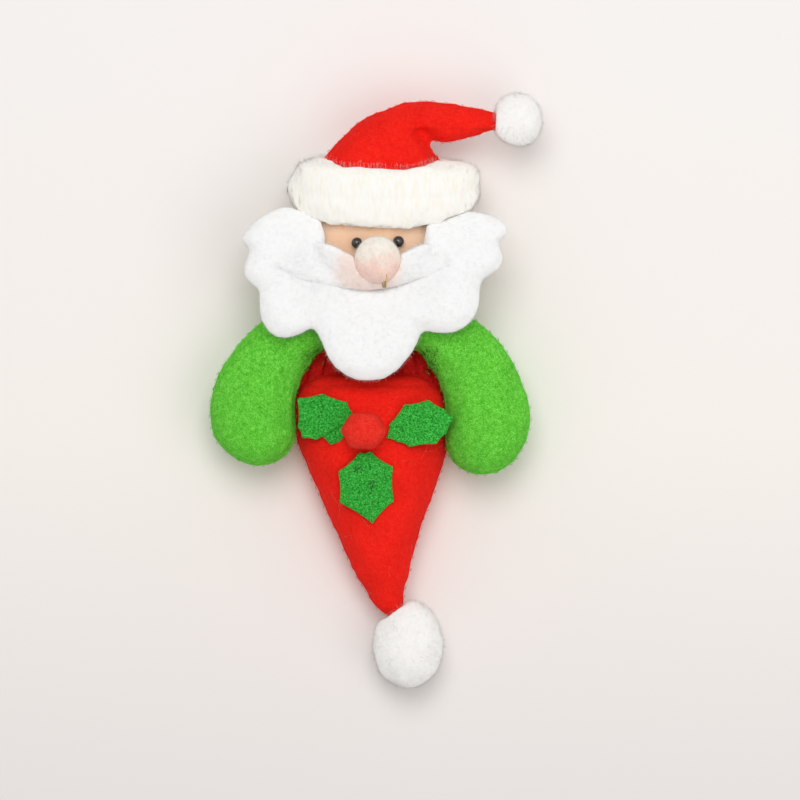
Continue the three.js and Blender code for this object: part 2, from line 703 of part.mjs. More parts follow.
// Beard and moustache are thick sheets with rounded edges that lie over a curved base.
// Left is the side that lies to the left of someone who walks along the sheet.
function sheetSection(left, right, thick, edge, baseAt) {
  const side = left.clone().sub(right);
  const round = Math.min(edge, side.length() * roundestShare);
  side.normalize();
  const half = thick / 2;
  const ring = [];
  const add = (point, rise) => {
    ring.push(new THREE.Vector3(point.x, point.y, baseAt(point.x, point.y) + half + rise));
  };
  const arc = (centre, from) => {
    for (let i = 0; i <= EDGE_STEPS; i++) {
      const angle = from + (Math.PI * i) / EDGE_STEPS;
      add(centre.clone().addScaledVector(side, round * Math.cos(angle)), half * Math.sin(angle));
    }
  };
  const middle = left.clone().add(right).multiplyScalar(0.5);
  arc(left.clone().addScaledVector(side, -round), -Math.PI / 2);
  add(middle, half);
  arc(right.clone().addScaledVector(side, round), Math.PI / 2);
  add(middle, -half);
  return ring;
}

function beardPoint([across, up]) {
  const height = up > 0 ? up * BEARD_RISE : up * BEARD_FALL;
  return new THREE.Vector3(BEARD.x + across * BEARD_HALF_WIDTH, BEARD.y + height, 0);
}

function beardBackAt(x, y) {
  return Math.max(BEARD_BACK_HEIGHT, headFrontAt(x, y) + SEAT_GAP);
}

function beard() {
  const inner = new THREE.CatmullRomCurve3(beardInnerShares.map(beardPoint));
  const last = beardOuterShares.length - 1;
  const sections = beardOuterShares.map((share, i) => {
    const thick = (beardEndThickShares[Math.min(i, last - i)] ?? 1) * BEARD_THICK;
    return sheetSection(inner.getPoint(i / last), beardPoint(share), thick, BEARD_EDGE, beardBackAt);
  });
  return solid(new LoftGeometry(sections, { capStart: true, capEnd: true }))
    .subtract(headShape(-SEAT_GAP))
    .subtract(nose(-SEAT_GAP))
    .subtract(bandShape(-SEAT_GAP));
}

function moustacheBackAt(x, y) {
  return beardBackAt(x, y) + BEARD_THICK + SEAT_GAP;
}

function moustache() {
  const sections = moustacheShares.map(([across, upper, lower]) => {
    const x = MOUSTACHE.x + across * MOUSTACHE_HALF_WIDTH;
    const top = new THREE.Vector3(x, MOUSTACHE.y + upper * MOUSTACHE_HALF_HEIGHT, 0);
    const bottom = new THREE.Vector3(x, MOUSTACHE.y + lower * MOUSTACHE_HALF_HEIGHT, 0);
    return sheetSection(top, bottom, MOUSTACHE_THICK, MOUSTACHE_EDGE, moustacheBackAt);
  });
  return solid(new LoftGeometry(sections, { capStart: true, capEnd: true }))
    .subtract(nose(-SEAT_GAP))
    .subtract(noseOpening())
    .subtract(beard())
    .subtract(beard().translate([0, 0, SEAT_GAP]));
}

// Hat: crown, tail, fur band and pompom
const crownForm = stuffedForm(
  crownShares.map(([leftX, leftY, rightX, rightY, swell]) => ({
    left: [HAT.x + leftX * CROWN_HALF_WIDTH, HAT.y + leftY * CROWN_HEIGHT],
    right: [HAT.x + rightX * CROWN_HALF_WIDTH, HAT.y + rightY * CROWN_HEIGHT],
    front: swell * CROWN_HALF_DEPTH,
    back: swell * CROWN_HALF_DEPTH,
  })),
  HAT.z,
  true,
);
const tailFold = middleOf(crownForm, 1);

function crownShape(inset, face) {
  return stuffedSolid(crownForm, inset, face);
}

const tailForm = stuffedForm(
  tailShares.map(([along, upper, lower, swell]) => {
    const x = tailFold.x + along * TAIL_LENGTH;
    return {
      left: [x, tailFold.y + upper * TAIL_HALF_WIDTH],
      right: [x, tailFold.y - lower * TAIL_HALF_WIDTH],
      front: swell * TAIL_HALF_WIDTH,
      back: swell * TAIL_HALF_WIDTH,
    };
  }),
  HAT.z,
  false,
);

function tailShape(inset, face) {
  const crown = crownShape(-SEAT_GAP - inset);
  const folded = swept(crown, tailFold, -TAIL_FLOP_UP, TAIL_FLOP_DOWN);
  return stuffedSolid(tailForm, inset, face).subtract(folded);
}

function hatPompom() {
  const tip = placeOfTip(tailShares);
  const shift = new THREE.Vector3(HAT_POMPOM_REACH, 0, 0);
  const half = new THREE.Vector3(HAT_POMPOM_HALF_WIDTH, HAT_POMPOM_HALF_HEIGHT, HAT_POMPOM_HALF_WIDTH);
  return pompomOn(tailForm, tip, HAT.z, tailForm.swell.getPoint(tip).x, shift, half);
}

function squared(value) {
  return Math.sign(value) * Math.pow(Math.abs(value), BAND_CORNER_SHARE);
}

// The band's ring, before it is pressed against the head and the crown.
function bandShape(inset) {
  const sections = [];
  for (let i = 0; i <= BAND_STEPS; i++) {
    const turn = (2 * Math.PI * (i % BAND_STEPS)) / BAND_STEPS;
    const out = new THREE.Vector3(Math.cos(turn), 0, Math.sin(turn));
    const forward = (1 + out.z) / 2;
    const middle = new THREE.Vector3(
      HAT.x + BAND_HALF_WIDTH * squared(out.x),
      HAT.y + BAND_LIFT - BAND_SAG * forward * forward,
      HAT.z + BAND_HALF_DEPTH * squared(out.z),
    );
    const ring = [];
    for (let k = 0; k < BAND_SIDES; k++) {
      const angle = (2 * Math.PI * k) / BAND_SIDES;
      const point = middle.clone().addScaledVector(out, (BAND_HALF_THICK - inset) * Math.cos(angle));
      point.y += (BAND_HALF_HEIGHT - inset) * Math.sin(angle);
      ring.push(point);
    }
    sections.push(ring);
  }
  return solid(new LoftGeometry(sections));
}

function furBand() {
  return bandShape(0)
    .subtract(headShape(-SEAT_GAP))
    .subtract(crownShape(-SEAT_GAP))
    .intersect(inFrontOf(0));
}

// Arms
function armForm(side, shoulder, drop) {
  const rows = armShares.map(([innerOut, innerDown, outerOut, outerDown, front, back]) => {
    const inner = [shoulder.x + side * innerOut * ARM_REACH, shoulder.y - innerDown * drop];
    const outer = [shoulder.x + side * outerOut * ARM_REACH, shoulder.y - outerDown * drop];
    return {
      left: side < 0 ? inner : outer,
      right: side < 0 ? outer : inner,
      front: front * ARM_FRONT_SWELL,
      back: back * ARM_BACK_SWELL,
    };
  });
  return stuffedForm(rows, ARM_SEAM_HEIGHT, false);
}

function armPieces(name, side, drop) {
  const shoulder = new THREE.Vector2(side * (BODY_HALF_WIDTH - SHOULDER_INSET), HEAD.y - SHOULDER_DROP);
  const form = armForm(side, shoulder, drop);
  const shape = (inset, face) =>
    stuffedSolid(form, inset, face)
      .subtract(bodyShape(-SEAT_GAP - inset))
      .subtract(swept(headShape(-SEAT_GAP - inset), shoulder, 0, -side * ARM_LIFT_ANGLE));
  return stuffedPieces(name, shape, materials.lime);
}

function group(...children) {
  return new THREE.Group().add(...children);
}

const body = group(
  ...stuffedPieces("body", bodyShape, materials.red),
  mesh("left_leaf", leaf(LEFT_LEAF, leftLeafShares, slope(LEFT_LEAF_TILT), 0), materials.leafGreen),
  mesh("small_leaf", leaf(SMALL_LEAF, smallLeafShares, slope(LEFT_LEAF_TILT), 0), materials.leafGreen),
  mesh("right_leaf", leaf(RIGHT_LEAF, rightLeafShares, slope(RIGHT_LEAF_TILT), 0), materials.leafGreen),
  mesh("lower_leaf", leaf(LOWER_LEAF, lowerLeafShares, 0, slope(LOWER_LEAF_TILT)), materials.leafGreen),
  mesh("berry", berry(0), materials.berryRed),
);
const tail = group(
  ...stuffedPieces("hat_tail", tailShape, materials.red),
  mesh("hat_pompom", hatPompom(), materials.white),
);
const head = group(
  mesh("collar", collar(), materials.darkRed),
  mesh("head_cover", headCover(), materials.skin),
  mesh("head_filling", headFilling(), materials.filling),
  mesh("left_eye", eyeBead(-1, 0), materials.black),
  mesh("right_eye", eyeBead(1, 0), materials.black),
  mesh("nose", nose(0), materials.noseSkin),
  mesh("nose_thread", noseThread(), materials.gold),
  mesh("beard", beard(), materials.white),
  mesh("moustache", moustache(), materials.white),
  ...stuffedPieces("hat", crownShape, materials.red, headShape(-SEAT_GAP)),
  mesh("fur_band", furBand(), materials.cream),
  tail,
  group(...armPieces("left_arm", -1, LEFT_ARM_DROP)),
  group(...armPieces("right_arm", 1, RIGHT_ARM_DROP)),
);

export default group(body, mesh("body_pompom", bodyPompom(), materials.white), head);
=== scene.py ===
"""A stuffed Christmas figure of felt and plush, lying on its back and seen from straight above.

Lengths are in metres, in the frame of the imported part.
"""

import json
import math
import random

import bmesh
import bpy
import numpy as np
from mathutils import Matrix, Vector, noise
from mathutils.bvhtree import BVHTree


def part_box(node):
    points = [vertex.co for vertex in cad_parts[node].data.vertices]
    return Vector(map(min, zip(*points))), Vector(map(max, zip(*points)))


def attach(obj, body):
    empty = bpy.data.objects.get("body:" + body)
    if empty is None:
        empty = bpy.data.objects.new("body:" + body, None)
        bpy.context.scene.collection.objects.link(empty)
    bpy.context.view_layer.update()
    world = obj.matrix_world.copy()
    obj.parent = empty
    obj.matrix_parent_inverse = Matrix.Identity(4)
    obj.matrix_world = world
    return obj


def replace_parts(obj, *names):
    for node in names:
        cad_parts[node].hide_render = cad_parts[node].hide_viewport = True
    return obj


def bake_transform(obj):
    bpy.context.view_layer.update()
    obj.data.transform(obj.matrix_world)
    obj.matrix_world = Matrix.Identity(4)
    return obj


MM = 0.001
TURN = 2 * math.pi

PICTURE_SIDE = 800 / 3 * MM  # 800 pixels, at 3 to the millimetre
PICTURE_CENTRE = Vector((10 * MM, 10 * MM, 0))
CAMERA_HEIGHT = 4.0
FOCUS_HEIGHT = 20 * MM

TABLE_GAP = 0.1 * MM  # a piece that is pressed flat by the table stays this far above it

KNIT_LOOP_SHARE = 0.314  # a wave texture's scale for one band to the unit
SHORTEST, LONGEST = 0.7, 1.15  # hairs of one kind differ in length by these shares
SOFT_LIFT = Vector((0, 0, 0.6))  # white pile is shaded as if it leaned this far to the light above

SIM_SCALE = 10  # the cloth simulation works on a form this many times larger
SIM_FRAMES = 20
SIM_PRESSURE = 4

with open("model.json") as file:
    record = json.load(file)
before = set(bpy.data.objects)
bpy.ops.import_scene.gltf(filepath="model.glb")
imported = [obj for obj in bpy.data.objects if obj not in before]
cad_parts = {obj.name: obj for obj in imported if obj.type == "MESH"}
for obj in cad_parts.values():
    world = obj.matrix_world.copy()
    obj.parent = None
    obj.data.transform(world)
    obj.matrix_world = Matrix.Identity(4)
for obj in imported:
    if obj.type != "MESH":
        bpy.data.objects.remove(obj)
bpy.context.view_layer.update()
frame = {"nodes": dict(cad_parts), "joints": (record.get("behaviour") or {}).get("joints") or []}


def clamp(value):
    """The value, but no less than 0 and no more than 1."""
    return max(0, min(1, value))


# Meshes


def new_piece(name, bm):
    """An object at the origin that holds this mesh."""
    mesh = bpy.data.meshes.new(name)
    bm.to_mesh(mesh)
    bm.free()
    piece = bpy.data.objects.new(name, mesh)
    bpy.context.scene.collection.objects.link(piece)
    return piece


def apply_modifiers(piece):
    """What the piece's modifiers make becomes its mesh."""
    graph = bpy.context.evaluated_depsgraph_get()
    made = bpy.data.meshes.new_from_object(piece.evaluated_get(graph), depsgraph=graph)
    piece.modifiers.clear()
    piece.data = made
    return piece


def points_of(piece):
    found = np.empty(len(piece.data.vertices) * 3)
    piece.data.vertices.foreach_get("co", found)
    return found.reshape(-1, 3)


def edit(piece, change):
    """Hands the piece's mesh to a function as a bmesh, and puts the result back."""
    bm = bmesh.new()
    bm.from_mesh(piece.data)
    change(bm)
    bm.normal_update()
    bm.to_mesh(piece.data)
    bm.free()
    piece.data.update()
    return piece


def islands(bm):
    """The separate skins of a mesh, each as its vertices."""
    waiting = set(bm.verts)
    found = []
    while waiting:
        skin = [waiting.pop()]
        for vert in skin:
            for edge in vert.link_edges:
                other = edge.other_vert(vert)
                if other in waiting:
                    waiting.remove(other)
                    skin.append(other)
        found.append(skin)
    return found


def keep_outer(bm):
    """Takes away the hollows inside a closed form."""
    largest = set(max(islands(bm), key=len))
    inner = [vert for vert in bm.verts if vert not in largest]
    bmesh.ops.delete(bm, geom=inner, context="VERTS")


def smooth(bm, times):
    for _ in range(times):
        bmesh.ops.smooth_vert(
            bm, verts=bm.verts, factor=0.5, use_axis_x=True, use_axis_y=True, use_axis_z=True
        )


def remesh(piece, voxel, smoothing):
    """One even closed skin over everything in the piece, with its facets smoothed away."""
    skin = piece.modifiers.new("skin", "REMESH")
    skin.mode = "VOXEL"
    skin.voxel_size = voxel
    apply_modifiers(piece)

    def tidy(bm):
        keep_outer(bm)
        smooth(bm, smoothing)

    return edit(piece, tidy)


def soft_copy(name, nodes, voxel, smoothing, extra=None):
    """A soft form in the space that these CAD nodes hold."""
    bm = bmesh.new()
    for node in nodes:
        bm.from_mesh(frame["nodes"][node].data)
    bmesh.ops.remove_doubles(bm, verts=bm.verts, dist=0.001 * MM)
    if extra:
        extra(bm)
    piece = remesh(new_piece(name, bm), voxel, smoothing)
    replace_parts(piece, *nodes)
    return piece


def refine(piece):
    """The piece's mesh subdivided for good, so that finer folds can be drawn into it."""
    finer = piece.modifiers.new("finer", "SUBSURF")
    finer.levels = finer.render_levels = 1
    return apply_modifiers(piece)


def rounded(piece, levels=1):
    """Smooth shading, and a live subdivision."""
    piece.data.polygons.foreach_set("use_smooth", [True] * len(piece.data.polygons))
    if levels:
        finish = piece.modifiers.new("rounded", "SUBSURF")
        finish.levels = finish.render_levels = levels
    return piece


def displace(piece, height_at):
    """Moves each point straight out by a height that depends on where it is."""

    def move(bm):
        bm.normal_update()
        moves = [(vert, vert.normal * height_at(vert.co, vert.normal)) for vert in bm.verts]
        for vert, shift in moves:
            vert.co += shift

    return edit(piece, move)


def rest_flat(piece):
    """No point of the piece goes below the surface that the figure lies on."""

    def press(bm):
        for vert in bm.verts:
            vert.co.z = max(vert.co.z, TABLE_GAP)

    return edit(piece, press)


def lumps(size, height, seed):
    """Gentle lumps of about this size and height. Each seed has lumps of its own."""
    offset = Vector((seed * 7.3, seed * 3.1, seed * 5.7))
    return lambda place, out: height * noise.noise(place / size + offset)


def inflate(piece, cap):
    """Cloth pressure swells a form as wadding does, and no point moves out further than the cap."""
    rest = points_of(piece)
    outs = np.array([vert.normal for vert in piece.data.vertices])
    piece.data.transform(Matrix.Scale(SIM_SCALE, 4))
    cloth = piece.modifiers.new("wadding", "CLOTH")
    cloth.settings.use_pressure = True
    cloth.settings.uniform_pressure_force = SIM_PRESSURE
    cloth.settings.effector_weights.gravity = 0
    cloth.point_cache.frame_start = 1
    cloth.point_cache.frame_end = SIM_FRAMES
    for step in range(1, SIM_FRAMES + 1):
        bpy.context.scene.frame_set(step)
    apply_modifiers(piece)
    bpy.context.scene.frame_set(1)
    swell = ((points_of(piece) / SIM_SCALE - rest) * outs).sum(axis=1, keepdims=True)
    piece.data.vertices.foreach_set("co", (rest + outs * np.clip(swell, 0, cap)).ravel())
    piece.data.update()
    return piece


# Hairs and fibres


def strand(width_share, curl, steps, tip_share=0.35):
    """A closed hair of unit length that stands on the origin and curls over to +X."""
    bm = bmesh.new()
    bmesh.ops.create_circle(bm, cap_ends=True, segments=3, radius=width_share)
    end = list(bm.faces)
    taper = tip_share ** (1 / steps)
    for k in range(steps):
        made = bmesh.ops.extrude_face_region(bm, geom=end)["geom"]
        end = [g for g in made if isinstance(g, bmesh.types.BMFace)]
        ring = [g for g in made if isinstance(g, bmesh.types.BMVert)]
        bmesh.ops.translate(bm, vec=(curl * (k + 0.5) / steps, 0, 1 / steps), verts=ring)
        centre = sum((vert.co for vert in ring), Vector()) / len(ring)
        about = Matrix.Translation(-centre)
        bmesh.ops.scale(bm, vec=(taper, taper, 1), space=about, verts=ring)
    bmesh.ops.recalc_face_normals(bm, faces=bm.faces)
    mesh = bpy.data.meshes.new("strand")
    bm.to_mesh(mesh)
    bm.free()
    return mesh


def sown(piece, count, seed):
    """Places spread evenly over a piece, each with the direction straight out."""
    mesh = piece.data
    mesh.calc_loop_triangles()
    corners = np.empty(len(mesh.loop_triangles) * 3, int)
    mesh.loop_triangles.foreach_get("vertices", corners)
    a, b, c = points_of(piece)[corners.reshape(-1, 3)].transpose(1, 0, 2)
    across = np.cross(b - a, c - a)
    area = np.linalg.norm(across, axis=1)
    rng = np.random.default_rng(seed)
    pick = rng.choice(len(area), count, p=area / area.sum())
    u, v = rng.random((2, count, 1))
    over = u + v > 1
    u, v = np.where(over, 1 - u, u), np.where(over, 1 - v, v)
    places = a[pick] + u * (b - a)[pick] + v * (c - a)[pick]
    outs = across[pick] / area[pick, None]
    return [(Vector(p), Vector(n)) for p, n in zip(places, outs)]


def grow(name, places, strands, length, seed, lean, sink=0.15, soft=False):
    """Hairs rooted at places. lean gives each one's direction, whose length scales the hair.

    Soft hairs take the light as the surface under them does, and a little more from above.
    """
    rng = random.Random(seed)
    laid = [[] for _ in strands]
    for place, out in places:
        toward = lean(place, out, rng)
        if toward is None:
            continue
        size = length * toward.length * rng.uniform(SHORTEST, LONGEST)
        toward.normalize()
        root = Matrix.Translation(place - toward * size * sink)
        face = toward.to_track_quat("Z", "Y").to_matrix().to_4x4()
        roll = Matrix.Rotation(rng.uniform(0, TURN), 4, "Z")
        stand = root @ face @ roll @ Matrix.Scale(size, 4)
        laid[rng.randrange(len(strands))].append((stand, out))
    bm = bmesh.new()
    for hair, group in zip(strands, laid):
        for _ in group:
            bm.from_mesh(hair)
    grown = [each for group in laid for each in group]
    per_hair = len(strands[0].vertices)
    for i, vert in enumerate(bm.verts):
        vert.co = grown[i // per_hair][0] @ vert.co
    piece = rounded(new_piece(name, bm), levels=0)
    if soft:
        outs = [(out + SOFT_LIFT).normalized() for _, out in grown for _ in range(per_hair)]
        piece.data.normals_split_custom_set_from_vertices(outs)
    return piece


def soft_shade(piece):
    """White pile lets light through, so its sides take more of it from above than a hard form's."""
    outs = [(vert.normal + SOFT_LIFT).normalized() for vert in piece.data.vertices]
    piece.data.normals_split_custom_set_from_vertices(outs)


def scattered(rng, amount):
    """A step of about this size in any direction."""
    return Vector((rng.gauss(0, 1), rng.gauss(0, 1), rng.gauss(0, 1))) * amount


# Each kind has three hairs that curl more and more, as wide as this share of their length.
FINE_FIBRES = [strand(0.04, curl, 2) for curl in (0.2, 0.6, 1.0)]
FUR_HAIRS = [strand(0.012, curl, 3) for curl in (0.04, 0.1, 0.2)]
WOOL_HAIRS = [strand(0.012, curl, 3) for curl in (0.05, 0.2, 0.4)]
FLOCK_HAIRS = [strand(0.024, curl, 2) for curl in (0.1, 0.4, 0.8)]
LONG_HAIRS = [strand(0.0026, curl, 6, 0.6) for curl in (0.35, 0.6, 0.9)]


def along_surface(out, rng):
    """Any direction that lies flat on a surface."""
    toward = scattered(rng, 1)
    return (toward - out * toward.dot(out)).normalized()


def nap(name, piece, count, length, seed, lift=0.7, strands=FINE_FIBRES, soft=False):
    """Short fibres that lie on felt every way, their ends lifted a little."""

    def lean(place, out, rng):
        return (along_surface(out, rng) + out * rng.uniform(0.05, lift)).normalized()

    return grow(name, sown(piece, count, seed), strands, length, seed, lean, soft=soft)


# Materials


class Finish:
    """A material whose pattern lies in the piece's own space. Sizes are those of the detail."""

    def __init__(self, name, roughness, **sockets):
        self.material = bpy.data.materials.new(name)
        self.material.use_nodes = True
        self.nodes = self.material.node_tree.nodes
        self.links = self.material.node_tree.links
        self.shader = self.nodes["Principled BSDF"]
        self.shader.inputs["Roughness"].default_value = roughness
        for socket, value in sockets.items():
            self.shader.inputs[socket.replace("_", " ")].default_value = value
        self.place = self.node("ShaderNodeTexCoord").outputs["Object"]

    def node(self, kind, **settings):
        made = self.nodes.new(kind)
        for key, value in settings.items():
            setattr(made, key, value)
        return made

    def feed(self, socket, value):
        if isinstance(value, bpy.types.NodeSocket):
            self.links.new(value, socket)
        else:
            socket.default_value = value

    def grain(self, size, stretch=(1, 1, 1), turn=0, detail=2, roughness=0.5):
        mapping = self.node("ShaderNodeMapping", vector_type="TEXTURE")
        self.feed(mapping.inputs["Vector"], self.place)
        mapping.inputs["Rotation"].default_value = (0, 0, turn)
        mapping.inputs["Scale"].default_value = [size * s for s in stretch]
        texture = self.node("ShaderNodeTexNoise")
        self.feed(texture.inputs["Vector"], mapping.outputs["Vector"])
        texture.inputs["Scale"].default_value = 1
        texture.inputs["Detail"].default_value = detail
        texture.inputs["Roughness"].default_value = roughness
        return texture.outputs["Fac"]

    def math(self, operation, *values):
        made = self.node("ShaderNodeMath", operation=operation)
        for socket, value in zip(made.inputs, values):
            self.feed(socket, value)
        return made.outputs[0]

    def ramp(self, value, *stops):
        made = self.node("ShaderNodeValToRGB")
        self.feed(made.inputs["Fac"], value)
        elements = made.color_ramp.elements
        while len(elements) < len(stops):
            elements.new(0.5)
        for element, (position, colour) in zip(elements, stops):
            element.position = position
            element.color = (*colour, 1)
        return made.outputs["Color"]

    def mix(self, share, a, b, blend="MIX"):
        made = self.node("ShaderNodeMix", data_type="RGBA", blend_type=blend)
        self.feed(made.inputs["Factor"], share)
        for socket, colour in (("A", a), ("B", b)):
            colour = (*colour, 1) if isinstance(colour, tuple) else colour
            self.feed([i for i in made.inputs if i.name == socket and i.type == "RGBA"][0], colour)
        return [o for o in made.outputs if o.type == "RGBA"][0]

    def colour(self, value):
        value = (*value, 1) if isinstance(value, tuple) else value
        self.feed(self.shader.inputs["Base Color"], value)

    def bump(self, height, distance, strength=1.0):
        made = self.node("ShaderNodeBump")
        self.feed(made.inputs["Height"], height)
        made.inputs["Distance"].default_value = distance
        made.inputs["Strength"].default_value = strength
        self.links.new(made.outputs["Normal"], self.shader.inputs["Normal"])

    def coat(self, piece, slot=None):
        piece.data.materials.clear()
        piece.data.materials.append(self.material)
        return piece


def felt(name, deep, ground, bright, grain=0.32 * MM, relief=0.14 * MM, sheen=0.1):
    """Pressed fibres that lie every way, some catching the light, over a slow change of shade."""
    made = Finish(name, 0.95, Sheen_Weight=sheen, Sheen_Roughness=0.45, Specular_IOR_Level=0.15)
    made.shader.inputs["Sheen Tint"].default_value = (*bright, 1)
    lays = [made.grain(grain, (1, 4, 1), turn) for turn in (0.2, 1.2, 2.3)]
    fibres = made.math("MAXIMUM", made.math("MAXIMUM", lays[0], lays[1]), lays[2])
    specks = made.grain(1.3 * grain, detail=5, roughness=0.85)
    clumps = made.grain(5 * grain, detail=2)
    pressed = made.math("ADD", made.math("MULTIPLY", fibres, 0.3), made.math("MULTIPLY", specks, 0.55))
    tone = made.math("ADD", pressed, made.math("MULTIPLY", clumps, 0.15))
    speckled = made.ramp(tone, (0.45, deep), (0.53, ground), (0.62, bright))
    slow = made.grain(12 * MM, detail=1)
    shade = made.ramp(slow, (0.35, (0.92, 0.92, 0.92)), (0.65, (1, 1, 1)))
    made.colour(made.mix(1.0, speckled, shade, "MULTIPLY"))
    made.bump(tone, relief)
    return made


def pile(name, root, ground, tip, lock=1.3 * MM, stretch=(1, 1, 1), relief=0.12 * MM, blush=None):
    """White hair, darker and warmer between the locks as painted shade. A blush is a place, a reach and a
    colour.
    """
    made = Finish(name, 0.9, Sheen_Weight=1.0, Sheen_Roughness=0.45, Specular_IOR_Level=0.15)
    locks = made.grain(lock, stretch, detail=3)
    # The first colour, between the locks, is painted shade
    tone = made.ramp(locks, (0.34, root), (0.46, ground), (0.58, tip))
    if blush:
        place, reach, tint = blush
        away = made.node("ShaderNodeVectorMath", operation="DISTANCE")
        made.feed(away.inputs[0], made.place)
        made.feed(away.inputs[1], place)
        near = made.node("ShaderNodeMapRange", interpolation_type="SMOOTHSTEP")
        made.feed(near.inputs["Value"], away.outputs["Value"])
        near.inputs["From Min"].default_value = reach
        near.inputs["From Max"].default_value = 0.55 * reach
        tone = made.mix(near.outputs["Result"], tone, tint)
    made.colour(tone)
    fine = made.math("MULTIPLY", made.grain(0.4 * MM, detail=2), 0.25)
    made.bump(made.math("ADD", locks, fine), relief)
    return made


red_felt = felt("red_felt", (0.84, 0.007, 0.004), (0.97, 0.016, 0.008), (1.0, 0.034, 0.018), grain=0.26 * MM)
# The body's red felt darkened as painted shade, for the collar that lies in shade at the neck
dark_red_felt = felt("dark_red_felt", (0.42, 0.005, 0.004), (0.7, 0.012, 0.009), (0.92, 0.034, 0.026))
lime_felt = felt("lime_felt", (0.06, 0.42, 0.018), (0.14, 0.64, 0.045), (0.28, 0.86, 0.12), sheen=0.2)
leaf_felt = felt(
    "leaf_felt", (0.0, 0.03, 0.001), (0.02, 0.42, 0.028), (0.2, 1.0, 0.2), grain=0.13 * MM, relief=0.2 * MM
)
berry_felt = felt("berry_felt", (0.8, 0.016, 0.01), (0.94, 0.034, 0.02), (0.98, 0.07, 0.045), relief=0.2 * MM)
red_hair = felt("red_hair", (0.8, 0.008, 0.004), (0.94, 0.018, 0.01), (0.98, 0.05, 0.035))
lint_green = felt("lint_green", (0.05, 0.3, 0.01), (0.16, 0.5, 0.03), (0.4, 0.75, 0.1))
# Nearly black fibres: partly lint, partly painted shade where the arm meets the collar
dark_lint_and_painted_shade = felt("dark_lint_and_painted_shade", (0.002, 0.012, 0.002), (0.006, 0.04, 0.006), (0.02, 0.1, 0.015))
# In each pile the first colour is painted shade between the locks
pale_hair = pile("pale_hair", (0.8, 0.2, 0.16), (0.88, 0.34, 0.28), (0.92, 0.5, 0.42))
fur = pile("fur", (0.97, 0.92, 0.81), (0.975, 0.95, 0.88), (0.98, 0.97, 0.93), 1.2 * MM, (1, 5, 1), 0.05 * MM)
yarn = pile("yarn", (0.96, 0.93, 0.9), (0.975, 0.955, 0.935), (0.98, 0.975, 0.955), relief=0.05 * MM)
nose_place = sum(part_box("nose"), Vector()) / 2 - Vector((3 * MM, 2.5 * MM, 0))
FLOCK_TONES = ((0.94, 0.94, 0.94), (0.96, 0.96, 0.96), (0.97, 0.97, 0.97))
flock = pile("flock", *FLOCK_TONES, relief=0.04 * MM)
# Flock that turns pink around the nose
flock_pink_near_nose = pile(
    "flock_pink_near_nose", *FLOCK_TONES, relief=0.04 * MM, blush=(nose_place, 14 * MM, (0.97, 0.8, 0.73))
)


def thread_finish(name, deep, bright):
    """Sewing thread, with painted shade where its plies turn under."""
    made = Finish(name, 0.75)
    made.colour(made.ramp(made.grain(0.4 * MM), (0.4, deep), (0.6, bright)))
    return made


stitch_thread = thread_finish("stitch_thread", (0.006, 0.02, 0.006), (0.03, 0.05, 0.015))
red_thread = thread_finish("red_thread", (0.5, 0.006, 0.004), (0.8, 0.012, 0.008))
lime_thread = thread_finish("lime_thread", (0.07, 0.42, 0.02), (0.14, 0.6, 0.04))


def knit_finish():
    """Fine flesh-coloured knit: rows of tiny loops, blushing a little in slow patches."""
    made = Finish("knit", 0.85, Sheen_Weight=0.2, Specular_IOR_Level=0.2)

    def courses(direction, size):
        wave = made.node("ShaderNodeTexWave", wave_type="BANDS", bands_direction=direction)
        made.feed(wave.inputs["Vector"], made.place)
        wave.inputs["Scale"].default_value = KNIT_LOOP_SHARE / size
        wave.inputs["Distortion"].default_value = 0.8
        wave.inputs["Detail Scale"].default_value = 2
        return wave.outputs["Fac"]

    loops = made.math("MULTIPLY", courses("Y", 0.42 * MM), courses("X", 0.34 * MM))
    yarn_tone = made.ramp(loops, (0, (0.95, 0.64, 0.44)), (1, (0.98, 0.72, 0.52)))
    slow = made.grain(9 * MM, detail=1)
    blush = made.ramp(slow, (0.4, (1, 0.93, 0.89)), (0.6, (1, 1, 1)))
    made.colour(made.mix(1.0, yarn_tone, blush, "MULTIPLY"))
    made.bump(loops, 0.05 * MM)
    return made


def nose_finish(low, high):
    """Felted wool, cream at the top and blushing towards the mouth."""
    made = Finish("nose_wool", 0.95, Sheen_Weight=0.8, Sheen_Roughness=0.5, Specular_IOR_Level=0.15)
    split = made.node("ShaderNodeSeparateXYZ")
    made.feed(split.inputs[0], made.place)
    wander = made.math("MULTIPLY", made.math("SUBTRACT", made.grain(5 * MM), 0.5), 0.5)
    up = made.node("ShaderNodeMapRange")
    made.feed(up.inputs["Value"], split.outputs["Y"])
    up.inputs["From Min"].default_value = low
    up.inputs["From Max"].default_value = high
    height = made.math("ADD", up.outputs["Result"], wander)
    made.colour(
        made.ramp(
            height,
            (0.08, (0.99, 0.7, 0.62)),
            (0.3, (0.99, 0.69, 0.6)),
            (0.56, (0.98, 0.86, 0.76)),
            (0.85, (0.98, 0.93, 0.83)),
        )
    )
    made.bump(made.grain(0.5 * MM, detail=3), 0.1 * MM)
    return made


def bead_finish():
    """Polished black glass-like plastic with the faintest cloud in it."""
    made = Finish("bead", 0.06, Coat_Weight=0.6, Coat_Roughness=0.03)
    made.colour(made.ramp(made.grain(1.5 * MM), (0.4, (0.003, 0.003, 0.003)), (0.7, (0.012, 0.011, 0.01))))
    return made


def gold_finish():
    """Metallic thread, rough where it is twisted."""
    made = Finish("gold", 0.35, Metallic=1.0)
    made.colour(made.ramp(made.grain(0.3 * MM), (0.35, (0.32, 0.2, 0.06)), (0.65, (0.82, 0.62, 0.28))))
    made.bump(made.grain(0.2 * MM, (1, 0.3, 1)), 0.08 * MM)
    return made


knit = knit_finish()
bead = bead_finish()
gold = gold_finish()


# Body


def crease(place, centre_y, width, depth):
    """A soft furrow across the figure."""
    away = (place.y - centre_y) / width
    return -depth * math.exp(-away * away)


